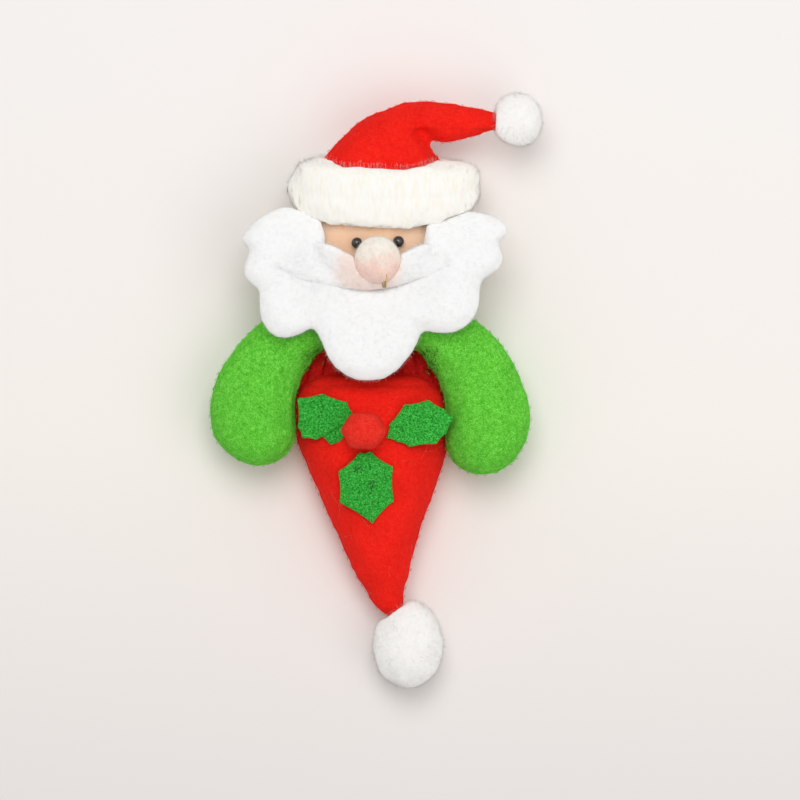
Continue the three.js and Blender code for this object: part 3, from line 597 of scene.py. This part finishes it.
def seam_lip(height, place, out, width=0.9 * MM, lip=0.5 * MM):
    """Along the side seam the two panels stand out a little and are drawn in beside it."""
    away = abs(place.z - height) / width
    facing = 1 - abs(out.z)
    return facing * (lip * math.exp(-away * away) - 0.5 * lip * math.exp(-((away - 2.2) ** 2)))


def stitches(name, piece, height, spacing, length, seed):
    """Whip stitches over the side seam, from one panel to the other."""
    bm = bmesh.new()
    bm.from_mesh(piece.data)
    bm.normal_update()
    near = [v for v in bm.verts if abs(v.co.z - height) < 0.6 * MM and abs(v.normal.z) < 0.7]
    rng = random.Random(seed)
    rng.shuffle(near)
    chosen = []
    for vert in near:
        if all((vert.co.xy - other.xy).length > spacing for other, _ in chosen):
            chosen.append((vert.co.copy(), vert.normal.copy()))
    bm.free()

    def lean(place, out, rng):
        along = Vector((0, 0, 1)).cross(out).normalized()
        return Vector((0, 0, 1)) + along * 0.5 + out * 0.15

    over = [(Vector((p.x, p.y, height - length / 2)) + n * 0.12 * MM, n) for p, n in chosen]
    return grow(name, over, [strand(0.06, 0.0, 3, 0.7)], length, seed, lean, sink=0)


BODY_SEAM = 11 * MM
BODY_NODES = ("body_front_panel", "body_back_panel", "body_filling")
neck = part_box("body_filling")[1].y + 1.5 * MM

body_cone = soft_copy("body_cone", BODY_NODES, voxel=2 * MM, smoothing=4)
inflate(body_cone, cap=1.0 * MM)
refine(body_cone)


def body_relief(place, out):
    depth = crease(place, neck - 3.2 * MM, 1.1 * MM, 0.5 * MM) if out.z > 0.2 else 0
    ripple = lumps(7 * MM, 0.5 * MM, 1)(place, out) + lumps(3 * MM, 0.16 * MM, 2)(place, out)
    return depth + ripple + seam_lip(BODY_SEAM, place, out)


displace(body_cone, body_relief)
rest_flat(body_cone)
body_stitches = stitches("body_stitches", body_cone, BODY_SEAM, spacing=2.2 * MM, length=1.7 * MM, seed=3)
rounded(red_felt.coat(body_cone, "red_felt"))
red_thread.coat(body_stitches)
body_nap = nap("body_nap", body_cone, count=11000, length=0.8 * MM, seed=11)
red_hair.coat(body_nap, "red_felt")
for piece in (body_cone, body_nap, body_stitches):
    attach(piece, "body")


# Arms

ARM_SEAM = 18 * MM

arms = {}
for side, seed in (("left", 21), ("right", 22)):
    nodes = [f"{side}_arm_{part}" for part in ("front_panel", "back_panel", "filling")]
    arm = arms[side] = soft_copy(f"{side}_arm", nodes, voxel=2 * MM, smoothing=4)
    inflate(arm, cap=0.9 * MM)
    refine(arm)
    ripple = lumps(9 * MM, 0.55 * MM, seed)
    displace(arm, lambda p, n: ripple(p, n) + seam_lip(ARM_SEAM, p, n))
    sewn = stitches(f"{side}_arm_stitches", arm, ARM_SEAM, spacing=2.4 * MM, length=1.8 * MM, seed=seed)
    fuzz = nap(f"{side}_arm_nap", arm, count=11000, length=0.8 * MM, seed=seed)
    rounded(lime_felt.coat(arm, "lime_felt"))
    lime_felt.coat(fuzz, "lime_felt")
    lime_thread.coat(sewn)
    for piece in (arm, fuzz, sewn):
        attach(piece, f"{side}_arm")


# Collar

COLLAR_PLEATS = 12
COLLAR_THICK = 1.2 * MM
COLLAR_TUCK = 5 * MM  # the strip's lower edge is tucked under the rounded top of the body


def pleated_collar():
    """A strip of felt, gathered in pleats at the neck and tucked up behind the head."""
    low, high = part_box("collar")
    top = high.y - 2 * MM
    bottom = low.y - COLLAR_TUCK
    bm = bmesh.new()
    bmesh.ops.create_grid(bm, x_segments=272, y_segments=20, size=1)
    for vert in bm.verts:
        across, up = vert.co.x, (vert.co.y + 1) / 2
        half = high.x * (1.12 - 0.38 * up)
        wave = math.sin(0.5 * math.pi * COLLAR_PLEATS * across + 1.1 * math.sin(5 * across))
        fold = 1 - 2 * (1 - abs(wave)) ** 3
        deep = (1.8 + 0.6 * noise.noise(Vector((across * 3, up * 2, 4)))) * MM
        sway = 0.5 * MM * noise.noise(Vector((across * 6, up * 3, 1)))
        vert.co = Vector((
            across * half + sway,
            bottom + up * (top - bottom),
            low.z + 1.9 * MM + fold * deep * (0.55 + 0.45 * up) + 0.4 * sway,
        ))
    piece = new_piece("pleated_collar", bm)
    thick = piece.modifiers.new("thick", "SOLIDIFY")
    thick.thickness = COLLAR_THICK
    thick.offset = 0
    apply_modifiers(piece)
    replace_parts(piece, "collar")
    return piece


collar = pleated_collar()
collar_nap = nap("collar_nap", collar, count=2200, length=0.6 * MM, seed=31)
# The collar and its fibres take the red felt darkened as painted shade
dark_red_felt.coat(collar_nap, "dark_red_felt")
rounded(dark_red_felt.coat(collar, "dark_red_felt"), levels=0)
for piece in (collar, collar_nap):
    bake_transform(piece)


# Head

head = soft_copy("head", ("head_cover", "head_filling"), voxel=1.6 * MM, smoothing=6)
displace(head, lumps(10 * MM, 0.3 * MM, 4))
rounded(knit.coat(head, "skin_knit"), levels=2)
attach(head, "head")


def eye(side):
    """A round bead."""
    low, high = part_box(f"{side}_eye")
    radius = (high.x - low.x) / 2
    bm = bmesh.new()
    bmesh.ops.create_uvsphere(bm, u_segments=40, v_segments=24, radius=radius * 1.03)
    centre = Vector(((low.x + high.x) / 2, (low.y + high.y) / 2, high.z - radius))
    bmesh.ops.translate(bm, vec=centre, verts=bm.verts)
    piece = rounded(bead.coat(new_piece(f"{side}_bead_eye", bm), "bead"), levels=0)
    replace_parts(piece, f"{side}_eye")
    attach(piece, "head")


eye("left")
eye("right")

nose = soft_copy("nose_ball", ["nose"], voxel=0.9 * MM, smoothing=5)
displace(nose, lambda p, n: lumps(4 * MM, 0.25 * MM, 5)(p, n) - 0.2 * MM)
nose_low, nose_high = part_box("nose")
nose_centre = (nose_low + nose_high) / 2


def pear(bm):
    """The nose is a little narrower at the top than at the mouth, and pressed in front."""
    for vert in bm.verts:
        up = (vert.co.y - nose_centre.y) / (nose_high.y - nose_centre.y)
        vert.co.x += (vert.co.x - nose_centre.x) * (-0.02 - 0.06 * up)
        vert.co.z -= 0.16 * max(0, vert.co.z - nose_centre.z)


edit(nose, pear)
refine(nose)
nose_wool = nose_finish(nose_low.y, nose_high.y)
nose_nap = nap("nose_nap", nose, 5000, 1 * MM, seed=41, lift=0.8, strands=FLOCK_HAIRS, soft=True)
nose_wool.coat(nose_nap, "nose_felt")
soft_shade(rounded(nose_wool.coat(nose, "nose_felt"), levels=0))
for piece in (nose, nose_nap):
    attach(piece, "head")


# Beard and moustache


HEAD_LOW, HEAD_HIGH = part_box("head_cover")
FOAM_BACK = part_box("beard")[0].z
FOAM_THICK = 9 * MM


def foam_top(place):
    """Height of the beard's front over a place on the plan."""
    centre, half = (HEAD_LOW + HEAD_HIGH) / 2, (HEAD_HIGH - HEAD_LOW) / 2
    x, y = (place.x - centre.x) / half.x, (place.y - centre.y) / half.y
    head_front = centre.z + half.z * math.sqrt(max(0, 1 - x * x - y * y))
    return max(FOAM_BACK, head_front) + FOAM_THICK


def solid_below(*pieces):
    """What a ray can hit of these pieces."""
    bm = bmesh.new()
    for piece in pieces:
        bm.from_mesh(piece.data)
    tree = BVHTree.FromBMesh(bm)
    bm.free()
    return tree


def cheeks(place):
    """How much the foam stands up beside the face, where it bends from the head to the flat."""
    beside = (abs(place.x - nose_centre.x) - 19 * MM) / (6.5 * MM)
    level = (place.y - nose_centre.y + 2 * MM) / (13 * MM)
    return 2.2 * MM * math.exp(-beside * beside - level * level)


def puff_cheeks(bm):
    smooth(bm, 3)
    bm.normal_update()
    for vert in bm.verts:
        vert.co.z += cheeks(vert.co) * max(0, vert.normal.z)


def settle(bm):
    """The moustache lies in the beard up to its lower edge, and closes round the nose."""
    below = solid_below(beard)
    low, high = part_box("moustache")
    ends = Vector(((high.x - low.x) / 2, 8.8 * MM))  # how far out they are, and how far up
    nose_half = (nose_high - nose_low) / 2
    by_the_nose = 1.3  # in the nose's own half widths

    def bed(x, y):
        """Where the beard is met from above, and its height as if it went on over the face."""
        place = Vector((x, y, 1))
        hit = below.ray_cast(place, Vector((0, 0, -1)))[0]
        smoothly = foam_top(place) + cheeks(place) + 0.5 * MM
        return hit, max(smoothly, hit.z) if hit else smoothly

    # The bed is evened out over two small rings of places.
    around = [
        Vector((math.cos(TURN * k / 8), math.sin(TURN * k / 8))) * r * MM
        for k in range(8)
        for r in (1, 2)
    ]
    upper = {}  # the upper edge, in columns a millimetre wide
    for vert in bm.verts:
        column = round(vert.co.x / MM)
        upper[column] = max(upper.get(column, low.y), vert.co.y)
    for vert in bm.verts:
        full = clamp((vert.co.z - foam_top(vert.co)) / (4.5 * MM))  # 0 behind, 1 in front
        aside, above = vert.co.x - nose_centre.x, vert.co.y - nose_centre.y
        off = Vector((aside / nose_half.x, above / nose_half.y)).length
        lip = clamp((by_the_nose - off) / 0.3)
        if lip:
            vert.co.xy = nose_centre.xy + (vert.co.xy - nose_centre.xy) * (by_the_nose - 0.46 * lip) / off
        vert.co.x = max(low.x, min(high.x, vert.co.x))
        across = (vert.co.x - (low.x + high.x) / 2) / ends.x
        edge = low.y + ends.y * across * across
        tall = max(2 * MM, upper[round(vert.co.x / MM)] - edge)
        rise = clamp(((vert.co.y - edge) / tall - 0.3) / 0.6) * (1 - lip)
        inset = clamp((vert.co.y - edge) / (2.5 * MM))
        top = sum(bed(vert.co.x + step.x, vert.co.y + step.y)[1] for step in around) / len(around)
        hit = bed(vert.co.x, vert.co.y)[0]
        over = clamp(1 - (top - hit.z) / (3 * MM)) if hit else 0
        base = hit.z - 0.8 * MM if hit else foam_top(vert.co) - FOAM_THICK + 1.5 * MM
        # It stands a millimetre proud, swells at the nose, and sinks into the beard at the top.
        stands = (1.1 - 0.3 * abs(across)) * (0.1 + 0.9 * inset)
        top += (stands * (1 - rise * over) + 0.5 * lip * lip - 0.5 * rise * over) * MM
        vert.co.z = base + (top - base) * full
    smooth(bm, 3)


def flocked(name, node, voxel, cap, finish, count, seed, puff, shape):
    """Soft white foam under a velvet of very short fibres."""
    piece = soft_copy(name, [node], voxel, smoothing=5)
    inflate(piece, cap)
    edit(piece, shape)
    refine(piece)
    displace(piece, lambda p, n: puff(p, n) + lumps(1.6 * MM, 0.05 * MM, seed)(p, n))
    fuzz = nap(f"{name}_flock", piece, count, 1.2 * MM, seed, lift=2.0, strands=FLOCK_HAIRS, soft=True)
    finish.coat(fuzz, "flocked_foam")
    soft_shade(rounded(finish.coat(piece, "flocked_foam"), levels=0))
    for part in (piece, fuzz):
        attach(part, "head")
    return piece


beard = flocked(
    "foam_beard",
    "beard",
    voxel=1.3 * MM,
    cap=0.8 * MM,
    finish=flock,
    count=12500,
    seed=51,
    puff=lumps(9 * MM, 0.5 * MM, 6),
    shape=puff_cheeks,
)
moustache = flocked(
    "foam_moustache",
    "moustache",
    voxel=0.75 * MM,
    cap=0.5 * MM,
    finish=flock_pink_near_nose,
    count=6000,
    seed=52,
    puff=lumps(8 * MM, 0.2 * MM, 7),
    shape=settle,
)


def thread_scrap():
    """A clipped end of gold thread, folded into a narrow V that lies on the nose and the foam."""
    low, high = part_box("nose_thread")
    below = solid_below(nose, moustache)

    def laid(x, y):
        """A point just above the wool or the foam."""
        return below.ray_cast(Vector((x, y, 1)), Vector((0, 0, -1)))[0] + Vector((0, 0, 0.35 * MM))

    point = laid((low.x + high.x) / 2 + 0.1 * MM, low.y - 0.5 * MM)
    legs = iter([laid(low.x - 0.1 * MM, high.y) - point, laid(high.x, high.y - 0.7 * MM) - point])
    length = 1 * MM
    places = [(point, Vector((0, 0, 1)))] * 2

    def lean(place, out, rng):
        return next(legs) / length

    piece = grow("gold_thread", places, [strand(0.11, 0.03, 4, 0.6)], length, 5, lean, sink=0)
    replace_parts(gold.coat(piece, "gold_thread"), "nose_thread")
    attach(piece, "head")


thread_scrap()


# Hat

HAT_SEAM = 20.2 * MM
HAT_NODES = ("hat_front_panel", "hat_back_panel", "hat_filling")
TAIL_NODES = ("hat_tail_front_panel", "hat_tail_back_panel", "hat_tail_filling")
fold = next(Vector(j["pos_m"]) for j in frame["joints"] if j["name"] == "hat_fold")
FOLD_FOOT = fold.xy + Vector((-0.4, -4.5)) * MM


def bridge_fold(bm):
    """Fills the narrow wedge between the crown and the tail, so that the hat is one cone."""
    near = [v.co.copy() for v in bm.verts if abs(v.co.x - fold.x) < 3.5 * MM and v.co.y > fold.y - 4.6 * MM]
    corners = [bmesh.ops.create_vert(bm, co=co)["vert"][0] for co in near]
    hull = bmesh.ops.convex_hull(bm, input=corners, use_existing_faces=False)
    spare = [g for g in hull["geom_interior"] + hull["geom_unused"] if isinstance(g, bmesh.types.BMVert)]
    bmesh.ops.delete(bm, geom=list(set(spare)), context="VERTS")


hat_cone = soft_copy("hat_cone", HAT_NODES + TAIL_NODES, voxel=1.6 * MM, smoothing=4, extra=bridge_fold)
inflate(hat_cone, cap=0.7 * MM)
refine(hat_cone)


def narrow_fold(bm):
    """The inside of the fold is a narrow corner, as far in as the foot of the crease."""
    corner = FOLD_FOOT + Vector((1.3, -3.2)) * MM
    for vert in bm.verts:
        near = (vert.co.xy - corner).length / (3.4 * MM)
        vert.co.xy += Vector((-1.8, 2.6)) * MM * math.exp(-near * near)


edit(hat_cone, narrow_fold)


def hat_relief(place, out):
    """The tail laps over the crown along a short crease that runs up from the inside of the fold."""
    line = Vector((-0.5, 0.87))
    offset = place.xy - FOLD_FOOT
    along, across = offset.dot(line), offset.cross(line)
    reach = clamp(1 - along / (9 * MM)) * clamp(1 + along / (3 * MM))
    facing = max(0, out.z)
    furrow = -1.7 * MM * math.exp(-((across / (1.3 * MM)) ** 2))
    lap = 0.9 * MM * math.exp(-(((across - 2.6 * MM) / (2 * MM)) ** 2))
    ripple = lumps(7 * MM, 0.45 * MM, 8)(place, out) + seam_lip(HAT_SEAM, place, out)
    under = max(0, -out.y) if place.x > fold.x - 2 * MM else 0
    beside = max(0, out.x) if place.y < fold.y - 4 * MM else 0
    return reach * facing * (furrow + lap) + ripple - (0.5 - 0.7 * under + 1.2 * beside) * MM


displace(hat_cone, hat_relief)
hat_stitches = stitches("hat_stitches", hat_cone, HAT_SEAM, spacing=2.3 * MM, length=1.7 * MM, seed=61)
hat_nap = nap("hat_nap", hat_cone, count=11000, length=0.85 * MM, seed=62)
red_hair.coat(hat_nap, "red_felt")
rounded(red_felt.coat(hat_cone, "red_felt"))
red_thread.coat(hat_stitches)
for piece in (hat_cone, hat_nap, hat_stitches):
    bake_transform(piece)

band_low, band_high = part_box("fur_band")
band_centre = (band_low + band_high) / 2
band_half_deep = (band_high.z - band_low.z) / 2
BAND_REACH = 14 * MM
BAND_GAP = 0.3 * MM
TUFT_SIZE = 2.6 * MM


def band_middle(place):
    """Height of the band's parting where it passes this place, lower in front than behind."""
    forward = (1 + (place.z - band_centre.z) / band_half_deep) / 2
    return band_high.y - 9.6 * MM - 7.2 * MM * forward * forward


def tuft(place):
    """A wander that neighbouring hairs share, so that they lie in tufts."""
    near = place / TUFT_SIZE
    return Vector([noise.noise(near + Vector((k, k, k))) for k in (0, 5, 9)])


def band_relief(place, out):
    """Tufts run down the lower half, and a shallow parting runs along the middle."""
    low = clamp((band_middle(place) + 2 * MM - place.y) / (5 * MM))
    long_way = Vector((place.x / (2 * MM), place.y / (9 * MM), place.z / (2 * MM)))
    parting = -0.4 * MM * math.exp(-(((place.y - band_middle(place) + 1 * MM) / (1.6 * MM)) ** 2))
    return low * 0.4 * MM * noise.noise(long_way) + parting + lumps(7 * MM, 0.9 * MM, 9)(place, out)


def band_lean(place, out, rng):
    """The lower half of the fur hangs down, the upper half lies up and out, and the front has little."""
    if rng.random() < 1.3 * out.z:
        return None
    comb = -1.0 if place.y < band_middle(place) + rng.uniform(-2, 2) * MM else 0.7
    stand = rng.uniform(0.02, 0.15) + 0.8 * rng.random() * (1 - abs(out.z)) ** 2
    toward = Vector((0, comb, 0)) + out * stand + tuft(place) * 0.4 + scattered(rng, 0.05)
    if place.z < 3 * MM:
        toward.z = abs(toward.z)
    size = 1 + 0.3 * noise.noise(place / (3 * MM) + Vector((3, 5, 8)))
    size += 0.4 * min(0, out.y) - 0.3 * max(0, out.y)
    return toward.normalized() * size


def hug(bm):
    """The inside of the band closes in on the hat and the head."""
    inside = solid_below(hat_cone, head)
    bm.normal_update()
    for vert in bm.verts:
        inward = Vector((band_centre.x - vert.co.x, 0, band_centre.z - vert.co.z)).normalized()
        facing = clamp((vert.normal.dot(inward) + 0.35) / 0.7)
        hit = inside.ray_cast(vert.co, inward, BAND_REACH)[0]
        if hit:
            vert.co += inward * max(0, (hit - vert.co).length - BAND_GAP) * facing


def round_corners(bm):
    """The band's ends fall away from the hat, the left one more than the right."""
    for vert in bm.verts:
        left = clamp((-13 * MM - vert.co.x) / (6 * MM))
        end = clamp((-19 * MM - vert.co.x) / (7 * MM))
        right = clamp((vert.co.x - 20 * MM) / (9 * MM))
        back = clamp((band_centre.z + 4 * MM - vert.co.z) / (8 * MM))
        up = clamp((vert.co.y - band_high.y + 15 * MM) / (12 * MM))
        down = clamp((band_low.y + 9 * MM - vert.co.y) / (8 * MM)) * (1 - back)
        vert.co.y -= (up * (1.0 * left + 5 * end**3 + 2.4 * right + 2 * back) + 1.5 * down) * MM


band_core = soft_copy("band_core", ["fur_band"], voxel=1.3 * MM, smoothing=5)
edit(band_core, hug)
edit(band_core, round_corners)
edit(band_core, lambda bm: smooth(bm, 2))
refine(band_core)
displace(band_core, band_relief)
rest_flat(band_core)
fur_places = sown(band_core, count=7000, seed=71)
band_fur = grow("band_fur", fur_places, FUR_HAIRS, length=3.2 * MM, seed=71, lean=band_lean, soft=True)
soft_shade(rounded(fur.coat(band_core, "fur"), levels=0))
fur.coat(band_fur, "fur")
for piece in (band_core, band_fur):
    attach(piece, "head")


# Pompoms


def pompom(name, toward, count, seed):
    """A soft ball of fine white wool, a little uneven, pressed flat where it lies.

    Its name is that of the CAD node and of the body that it rides on.
    """
    core = soft_copy(f"{name}_core", [name], voxel=1.2 * MM, smoothing=5)
    low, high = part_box(name)

    def swell(bm):
        """The side that meets the felt swells over it."""
        for vert in bm.verts:
            ahead = (vert.co - (low + high) / 2).dot(toward.normalized()) / (high.y - low.y) * 2
            vert.co += toward * max(0, ahead) ** 2

    edit(core, swell)
    refine(core)
    edit(core, lambda bm: smooth(bm, 4))
    displace(core, lambda p, n: lumps(7 * MM, 0.6 * MM, seed)(p, n) + lumps(1.8 * MM, 0.07 * MM, seed)(p, n))
    rest_flat(core)

    def lean(place, out, rng):
        toward = along_surface(out, rng) + out * rng.uniform(1.5, 4)
        if place.z < 2 * MM:
            toward.z = abs(toward.z)
        return toward.normalized()

    places = sown(core, count, seed)
    ends = grow(f"{name}_yarn", places, WOOL_HAIRS, 1.8 * MM, seed, lean, soft=True)
    soft_shade(rounded(yarn.coat(core, "pompom"), levels=0))
    yarn.coat(ends, "pompom")
    for piece in (core, ends):
        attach(piece, name)


pompom("hat_pompom", toward=Vector((-1.2 * MM, 0, 0)), count=2200, seed=81)
pompom("body_pompom", toward=Vector((0, 1.2 * MM, 0)), count=4000, seed=82)


# Holly


def holly(node, seed, nap_count, tuck=None):
    """A pressed felt leaf with soft cut edges, curling a little at its points."""
    low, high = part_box(node)
    centre = (low + high) / 2
    reach = max(high.x - low.x, high.y - low.y) / 2
    piece = soft_copy(f"{node}_felt", [node], voxel=0.42 * MM, smoothing=2)
    if tuck:
        edit(piece, tuck)

    def curl(bm):
        for vert in bm.verts:
            away = Vector((vert.co.x - centre.x, vert.co.y - centre.y)).length / reach
            vert.co.z += 0.9 * MM * max(0, away - 0.35) ** 2 + 0.25 * MM * noise.noise(vert.co / (5 * MM))

    edit(piece, curl)
    fuzz = nap(f"{node}_nap", piece, nap_count, 0.45 * MM, seed)
    leaf_felt.coat(fuzz, "leaf_felt")
    rounded(leaf_felt.coat(piece, "leaf_felt"), levels=0)
    for part in (piece, fuzz):
        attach(part, "body")
    return piece, fuzz


for node, seed in (("left_leaf", 91), ("right_leaf", 92), ("lower_leaf", 93)):
    holly(node, seed, nap_count=1500)


def tuck_under(bm):
    """The small leaf is larger than it looks, its upper edge under the left leaf."""
    low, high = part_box("small_leaf")
    about = Matrix.Translation((-high.x, -low.y, 0))
    bmesh.ops.scale(bm, vec=(1.12, 1.3, 1), space=about, verts=bm.verts)
    bmesh.ops.translate(bm, vec=(0, -0.3 * MM, -0.7 * MM), verts=bm.verts)


small_leaf, small_nap = holly("small_leaf", 94, nap_count=500, tuck=tuck_under)


def laid_threads(name, runs, finish, width_share):
    """Short threads that lie on a leaf or on the body, each from one point to another."""
    legs = iter([Vector(b) - Vector(a) for a, b in runs])
    places = [(Vector(a) * MM, Vector((0, 0, 1))) for a, b in runs]
    thread = strand(width_share, 0.06, 4, 0.7)
    piece = grow(name, places, [thread], MM, 7, lambda p, n, rng: next(legs), sink=0)
    finish.coat(piece)
    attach(piece, "body")


LEAF_STITCHES = [
    ((-17.4, 4.4, 27.7), (-15.8, 5.1, 27.9)),
    ((-16.6, 5.9, 27.6), (-15.4, 4.7, 28.0)),
    ((-17.0, 5.3, 27.7), (-16.6, 4.2, 27.8)),
    ((-9.6, 1.9, 28.2), (-8.1, 1.2, 28.5)),
    ((-11.6, 0.2, 27.7), (-10.4, 0.9, 28.1)),
    ((10.0, 0.3, 28.7), (11.4, 1.1, 28.8)),
    ((20.6, 4.6, 28.6), (22.0, 5.8, 28.6)),
    ((-5.3, -14.0, 28.0), (-2.6, -11.7, 28.5)),
    ((-5.6, -13.0, 28.1), (-3.6, -11.9, 28.4)),
    ((0.4, -20.2, 27.2), (1.1, -16.9, 27.7)),
    ((-0.6, -18.2, 27.4), (1.6, -16.6, 27.8)),
]
laid_threads("leaf_stitches", LEAF_STITCHES, stitch_thread, 0.06)

berry = soft_copy("felt_berry", ["berry"], voxel=0.9 * MM, smoothing=4)


def berry_relief(place, out):
    """Rolled felt, with the faint flats that the rolling left."""
    angle = math.atan2(out.y, out.x)
    flats = 0.3 * MM * math.cos(6 * angle + 0.5) * (1 - abs(out.z))
    return flats + lumps(4 * MM, 0.3 * MM, 10)(place, out)


displace(berry, berry_relief)
berry_nap = nap("berry_nap", berry, count=2500, length=0.6 * MM, seed=95)
berry_felt.coat(berry_nap, "berry_felt")
rounded(berry_felt.coat(berry, "berry_felt"))
for piece in (berry, berry_nap):
    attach(piece, "body")


# Stray hairs


def stray_hairs(name, piece, count, strands, length, seed, finish, body, keep):
    """Loose hairs that lie on a piece, where it is kept."""

    def lean(place, out, rng):
        return along_surface(out, rng) + out * 0.06 if keep(place, out) else None

    hairs = grow(name, sown(piece, count, seed), strands, length, seed, lean, sink=0)
    finish.coat(rest_flat(hairs))
    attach(hairs, body)


def by_the_neck(side):
    """Where dark lint and painted shade lie on the inside of an arm, beside the collar."""
    return lambda p, n: 17 * MM < side * p.x < 23 * MM and 15 * MM < p.y < 27 * MM and n.z > 0


stray_hairs(
    "body_stray_hairs",
    body_cone,
    count=90,
    strands=LONG_HAIRS,
    length=7 * MM,
    seed=96,
    finish=pale_hair,
    body="body",
    keep=lambda p, n: n.z > 0.3,
)
# Dark fibres on the inside of each arm by the neck, partly lint and partly painted shade
for side, sign, seed in (("left", -1, 97), ("right", 1, 98)):
    stray_hairs(
        f"{side}_arm_lint_and_painted_shade",
        arms[side],
        count=9000,
        strands=FINE_FIBRES,
        length=1.5 * MM,
        seed=seed,
        finish=dark_lint_and_painted_shade,
        body=f"{side}_arm",
        keep=by_the_neck(sign),
    )

LINT = [
    ((-16.2, 21.6, 12.6), (-15.2, 22.6, 14)),
    ((-15.4, 22.9, 12.6), (-15.9, 21.4, 13.8)),
    ((18.6, 19.8, 12.8), (19.6, 18.6, 14.4)),
    ((19.3, 19.9, 12.8), (18.7, 18.5, 14)),
]
laid_threads("green_lint", LINT, lint_green, 0.13)


# Studio


def studio():
    """A pale table under soft light from the top of the picture, and a camera straight above."""
    scene = bpy.context.scene
    bm = bmesh.new()
    bmesh.ops.create_grid(bm, x_segments=2, y_segments=2, size=12)
    table = new_piece("table", bm)
    paper = Finish("paper", 0.9, Specular_IOR_Level=0.1)
    along = paper.node("ShaderNodeSeparateXYZ")
    paper.feed(along.inputs[0], paper.place)
    away = paper.node("ShaderNodeMapRange")
    paper.feed(away.inputs["Value"], along.outputs["Y"])
    away.inputs["From Min"].default_value = -PICTURE_SIDE / 2
    away.inputs["From Max"].default_value = PICTURE_SIDE / 2
    # Painted light on the paper: darker towards the near edge, lighter and warmer across the middle, as the
    # lamps' light falls off
    near, middle, far = (0.84, 0.8, 0.785), (0.95, 0.9, 0.86), (0.93, 0.9, 0.88)
    paper.colour(paper.ramp(away.outputs["Result"], (0, near), (0.5, middle), (1, far)))
    paper.bump(paper.grain(20 * MM), 0.1 * MM)
    paper.coat(table)

    world = bpy.data.worlds.new("studio")
    scene.world = world
    world.use_nodes = True
    nodes, links = world.node_tree.nodes, world.node_tree.links
    background = nodes["Background"]
    path = nodes.new("ShaderNodeLightPath")
    seen = nodes.new("ShaderNodeMath")
    seen.operation = "MAXIMUM"
    links.new(path.outputs["Is Camera Ray"], seen.inputs[0])
    links.new(path.outputs["Is Glossy Ray"], seen.inputs[1])
    strength = nodes.new("ShaderNodeMapRange")
    links.new(seen.outputs[0], strength.inputs["Value"])
    strength.inputs["To Min"].default_value = 0.51  # on the figure
    strength.inputs["To Max"].default_value = 1.0  # to the camera, and in gloss
    links.new(strength.outputs["Result"], background.inputs["Strength"])
    background.inputs["Color"].default_value = (1, 0.995, 0.985, 1)

    def lamp(name, place, size, power):
        light = bpy.data.lights.new(name, "AREA")
        light.shape = "DISK"
        light.size = size
        light.energy = power
        holder = bpy.data.objects.new(name, light)
        holder.location = place
        holder.rotation_mode = "QUATERNION"
        holder.rotation_quaternion = (-Vector(place)).to_track_quat("-Z", "Y")
        holder.visible_camera = False
        scene.collection.objects.link(holder)

    lamp("key", (-0.04, 0.48, 1.2), 0.8, 6.6)
    lamp("fill", (0.62, -0.25, 1.15), 1.0, 2.8)

    view = bpy.data.cameras.new("camera")
    view.sensor_width = 36
    view.lens = view.sensor_width * (CAMERA_HEIGHT - FOCUS_HEIGHT) / PICTURE_SIDE
    view.clip_start, view.clip_end = 0.1, 60
    camera = bpy.data.objects.new("camera", view)
    camera.location = PICTURE_CENTRE + Vector((0, 0, CAMERA_HEIGHT))
    scene.collection.objects.link(camera)
    scene.camera = camera
    scene.view_settings.view_transform = "Standard"


studio()
